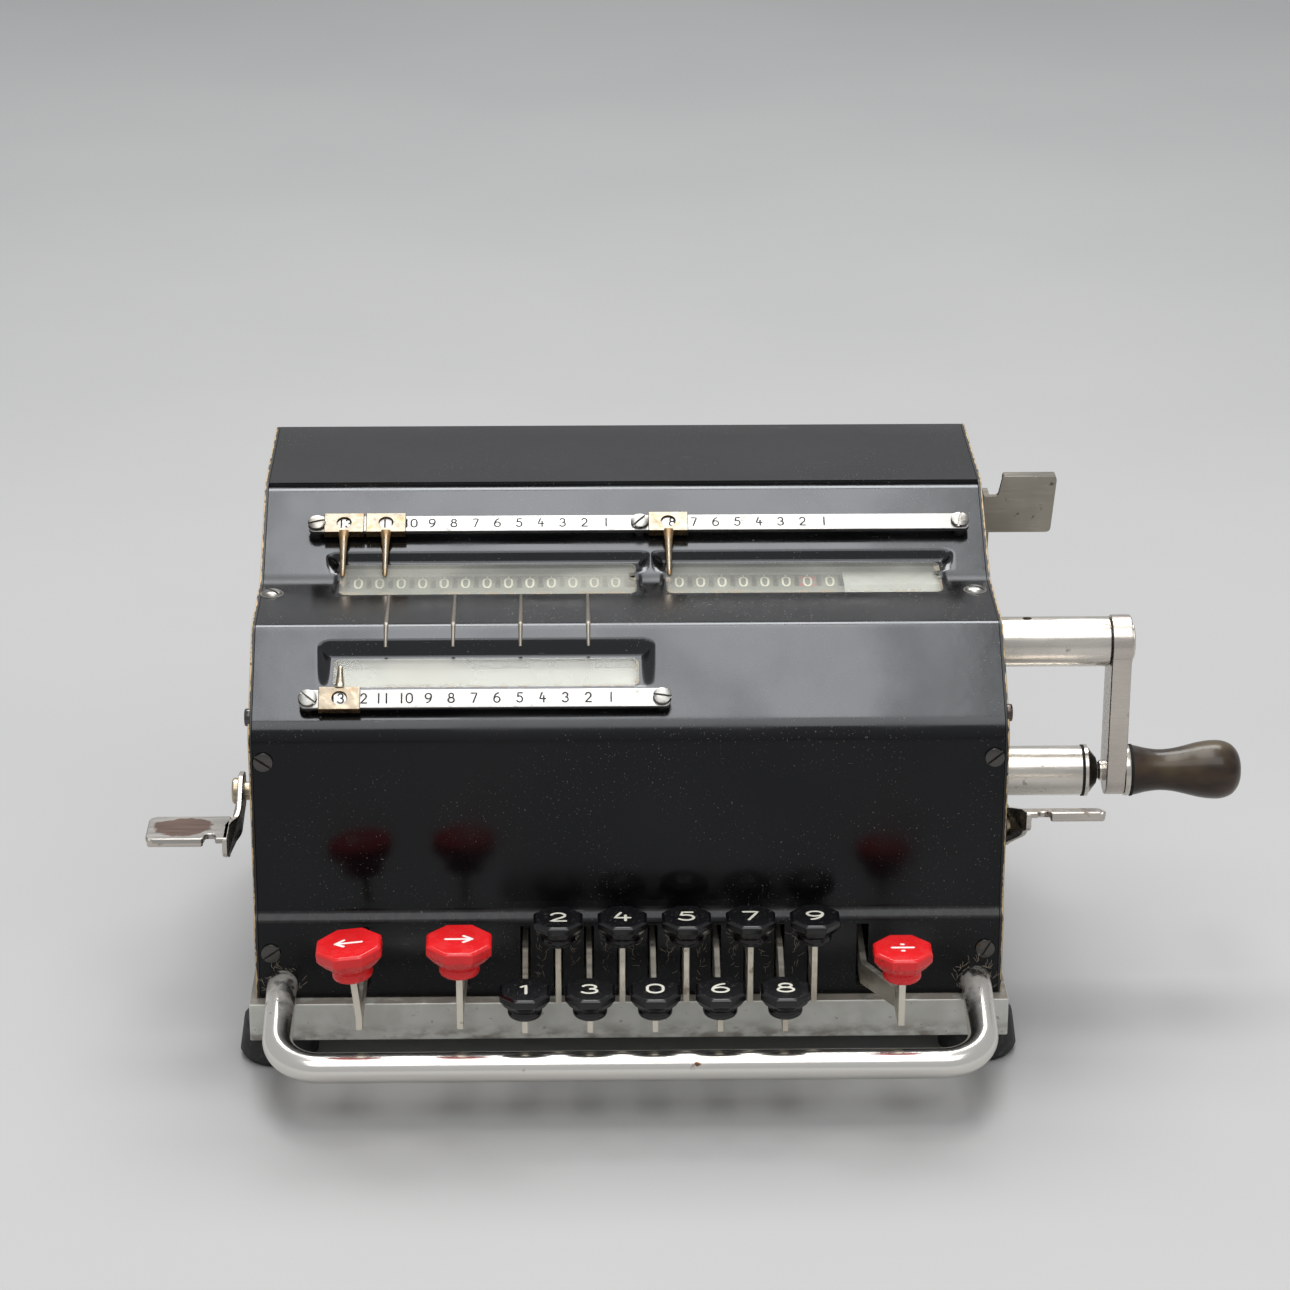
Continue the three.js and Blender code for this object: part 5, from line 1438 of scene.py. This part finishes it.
def paint_inner_nodes():
    """The works inside the case keep the CAD model's meshes and only get their metals."""
    finishes = {
        INNER_STEEL: ("left_frame_plate", "right_frame_plate", "bearing_plate", "rear_tie_rod",
                      "key_pivot_rod", "dial_shaft", "key_spring_comb", "rotor_shaft"),
        GEAR_BRASS: ("crank_gear", "rotor_gear", "pinwheel_rotor", "bell"),
    }
    for material, names in finishes.items():
        for name in names:
            mesh = frame["nodes"][name].data
            mesh.materials.clear()
            mesh.materials.append(material)


# ---------- Stage, lights and camera ----------

# The camera's place is in millimetres, its angles in degrees. The lights' places are in metres.
CAMERA_SPOT = (-19.67, -1069.12, 558.04)
CAMERA_AZIMUTH = -1.295
CAMERA_ELEVATION = 21.625
CAMERA_ROLL = 0.137
CAMERA_LENS = 110.33


def build_camera():
    azimuth, elevation = math.radians(CAMERA_AZIMUTH), math.radians(CAMERA_ELEVATION)
    back = Vector((math.sin(azimuth) * math.cos(elevation), -math.cos(azimuth) * math.cos(elevation),
                   math.sin(elevation)))
    right = Vector((math.cos(azimuth), math.sin(azimuth), 0))
    turn = Matrix.Rotation(math.radians(CAMERA_ROLL), 3, back)
    right = turn @ right
    up = back.cross(right)
    lens = bpy.data.cameras.new("camera")
    lens.lens = CAMERA_LENS
    lens.sensor_width = 36
    lens.clip_start = 0.05
    lens.clip_end = 50
    camera = bpy.data.objects.new("camera", lens)
    rotation = Matrix((right, up, back)).transposed().to_4x4()
    camera.matrix_world = Matrix.Translation(TO_FRAME @ Vector(CAMERA_SPOT)) @ rotation
    bpy.context.scene.collection.objects.link(camera)
    bpy.context.scene.camera = camera


def add_light(name, spot, target, size, power):
    light = bpy.data.lights.new(name, "AREA")
    light.shape = "RECTANGLE"
    light.size, light.size_y = size
    light.energy = power
    made = bpy.data.objects.new(name, light)
    made.location = spot
    made.rotation_euler = (Vector(target) - Vector(spot)).to_track_quat("-Z", "Y").to_euler()
    bpy.context.scene.collection.objects.link(made)


def build_stage():
    material, tree, bsdf = blank_material("studio_floor")
    cloud = between(tree, noise(tree, 4, 4), 0.3, 0.7, 0, 0.12)
    # Painted shade: the floor's grey darkens from front to back, standing in for the light falling off.
    painted_falloff = between(tree, position(tree, 1), -0.6, 1.8)
    grey = times(tree, times(tree, painted_falloff, 0.88), cloud, "ADD")
    wire(tree, bsdf, Base_Color=mixed(tree, grey, colour(0.44, 0.44, 0.435), colour(0.3, 0.302, 0.305)))
    bsdf.inputs["Roughness"].default_value = 0.6
    reach = 6
    mesh = mesh_of("floor", ([(-reach, -reach, 0), (reach, -reach, 0), (reach, reach, 0), (-reach, reach, 0)],
                             [[0, 1, 2, 3]]))
    mesh.materials.append(material)
    floor = bpy.data.objects.new("floor", mesh)
    bpy.context.scene.collection.objects.link(floor)

    add_light("overhead_softbox", (-0.02, 0.01, 1.65), (-0.02, 0.01, 0), (0.52, 1.1), 10)
    add_light("rear_softbox", (0, 1.0, 1.62), (0, 0, 0.1), (1.3, 0.6), 22)
    add_light("front_softbox", (0.1, -1.0, 1.55), (0, 0, 0.1), (1.6, 0.9), 11)

    world = bpy.data.worlds.new("studio")
    world.use_nodes = True
    back = world.node_tree.nodes["Background"]
    back.inputs["Color"].default_value = colour(0.98, 0.99, 1)
    back.inputs["Strength"].default_value = 0.5
    bpy.context.scene.world = world
    bpy.context.scene.view_settings.view_transform = "Standard"


build_front_cover()
build_rear_cover()
build_side_covers()
build_pane("result_window", RESULT_WINDOW)
build_pane("counter_window", COUNTER_WINDOW)
build_pane("setting_window", SETTING_WINDOW)
build_dials()
build_dial_plates()
build_shutter()
build_case_screws()
build_bars()
for marker in MARKERS:
    build_marker(**marker)
build_decimal_wires()
build_base()
build_handle()
build_lint()
build_digit_keys()
build_red_keys()
build_crank()
build_clearing_levers()
paint_inner_nodes()
build_camera()
build_stage()
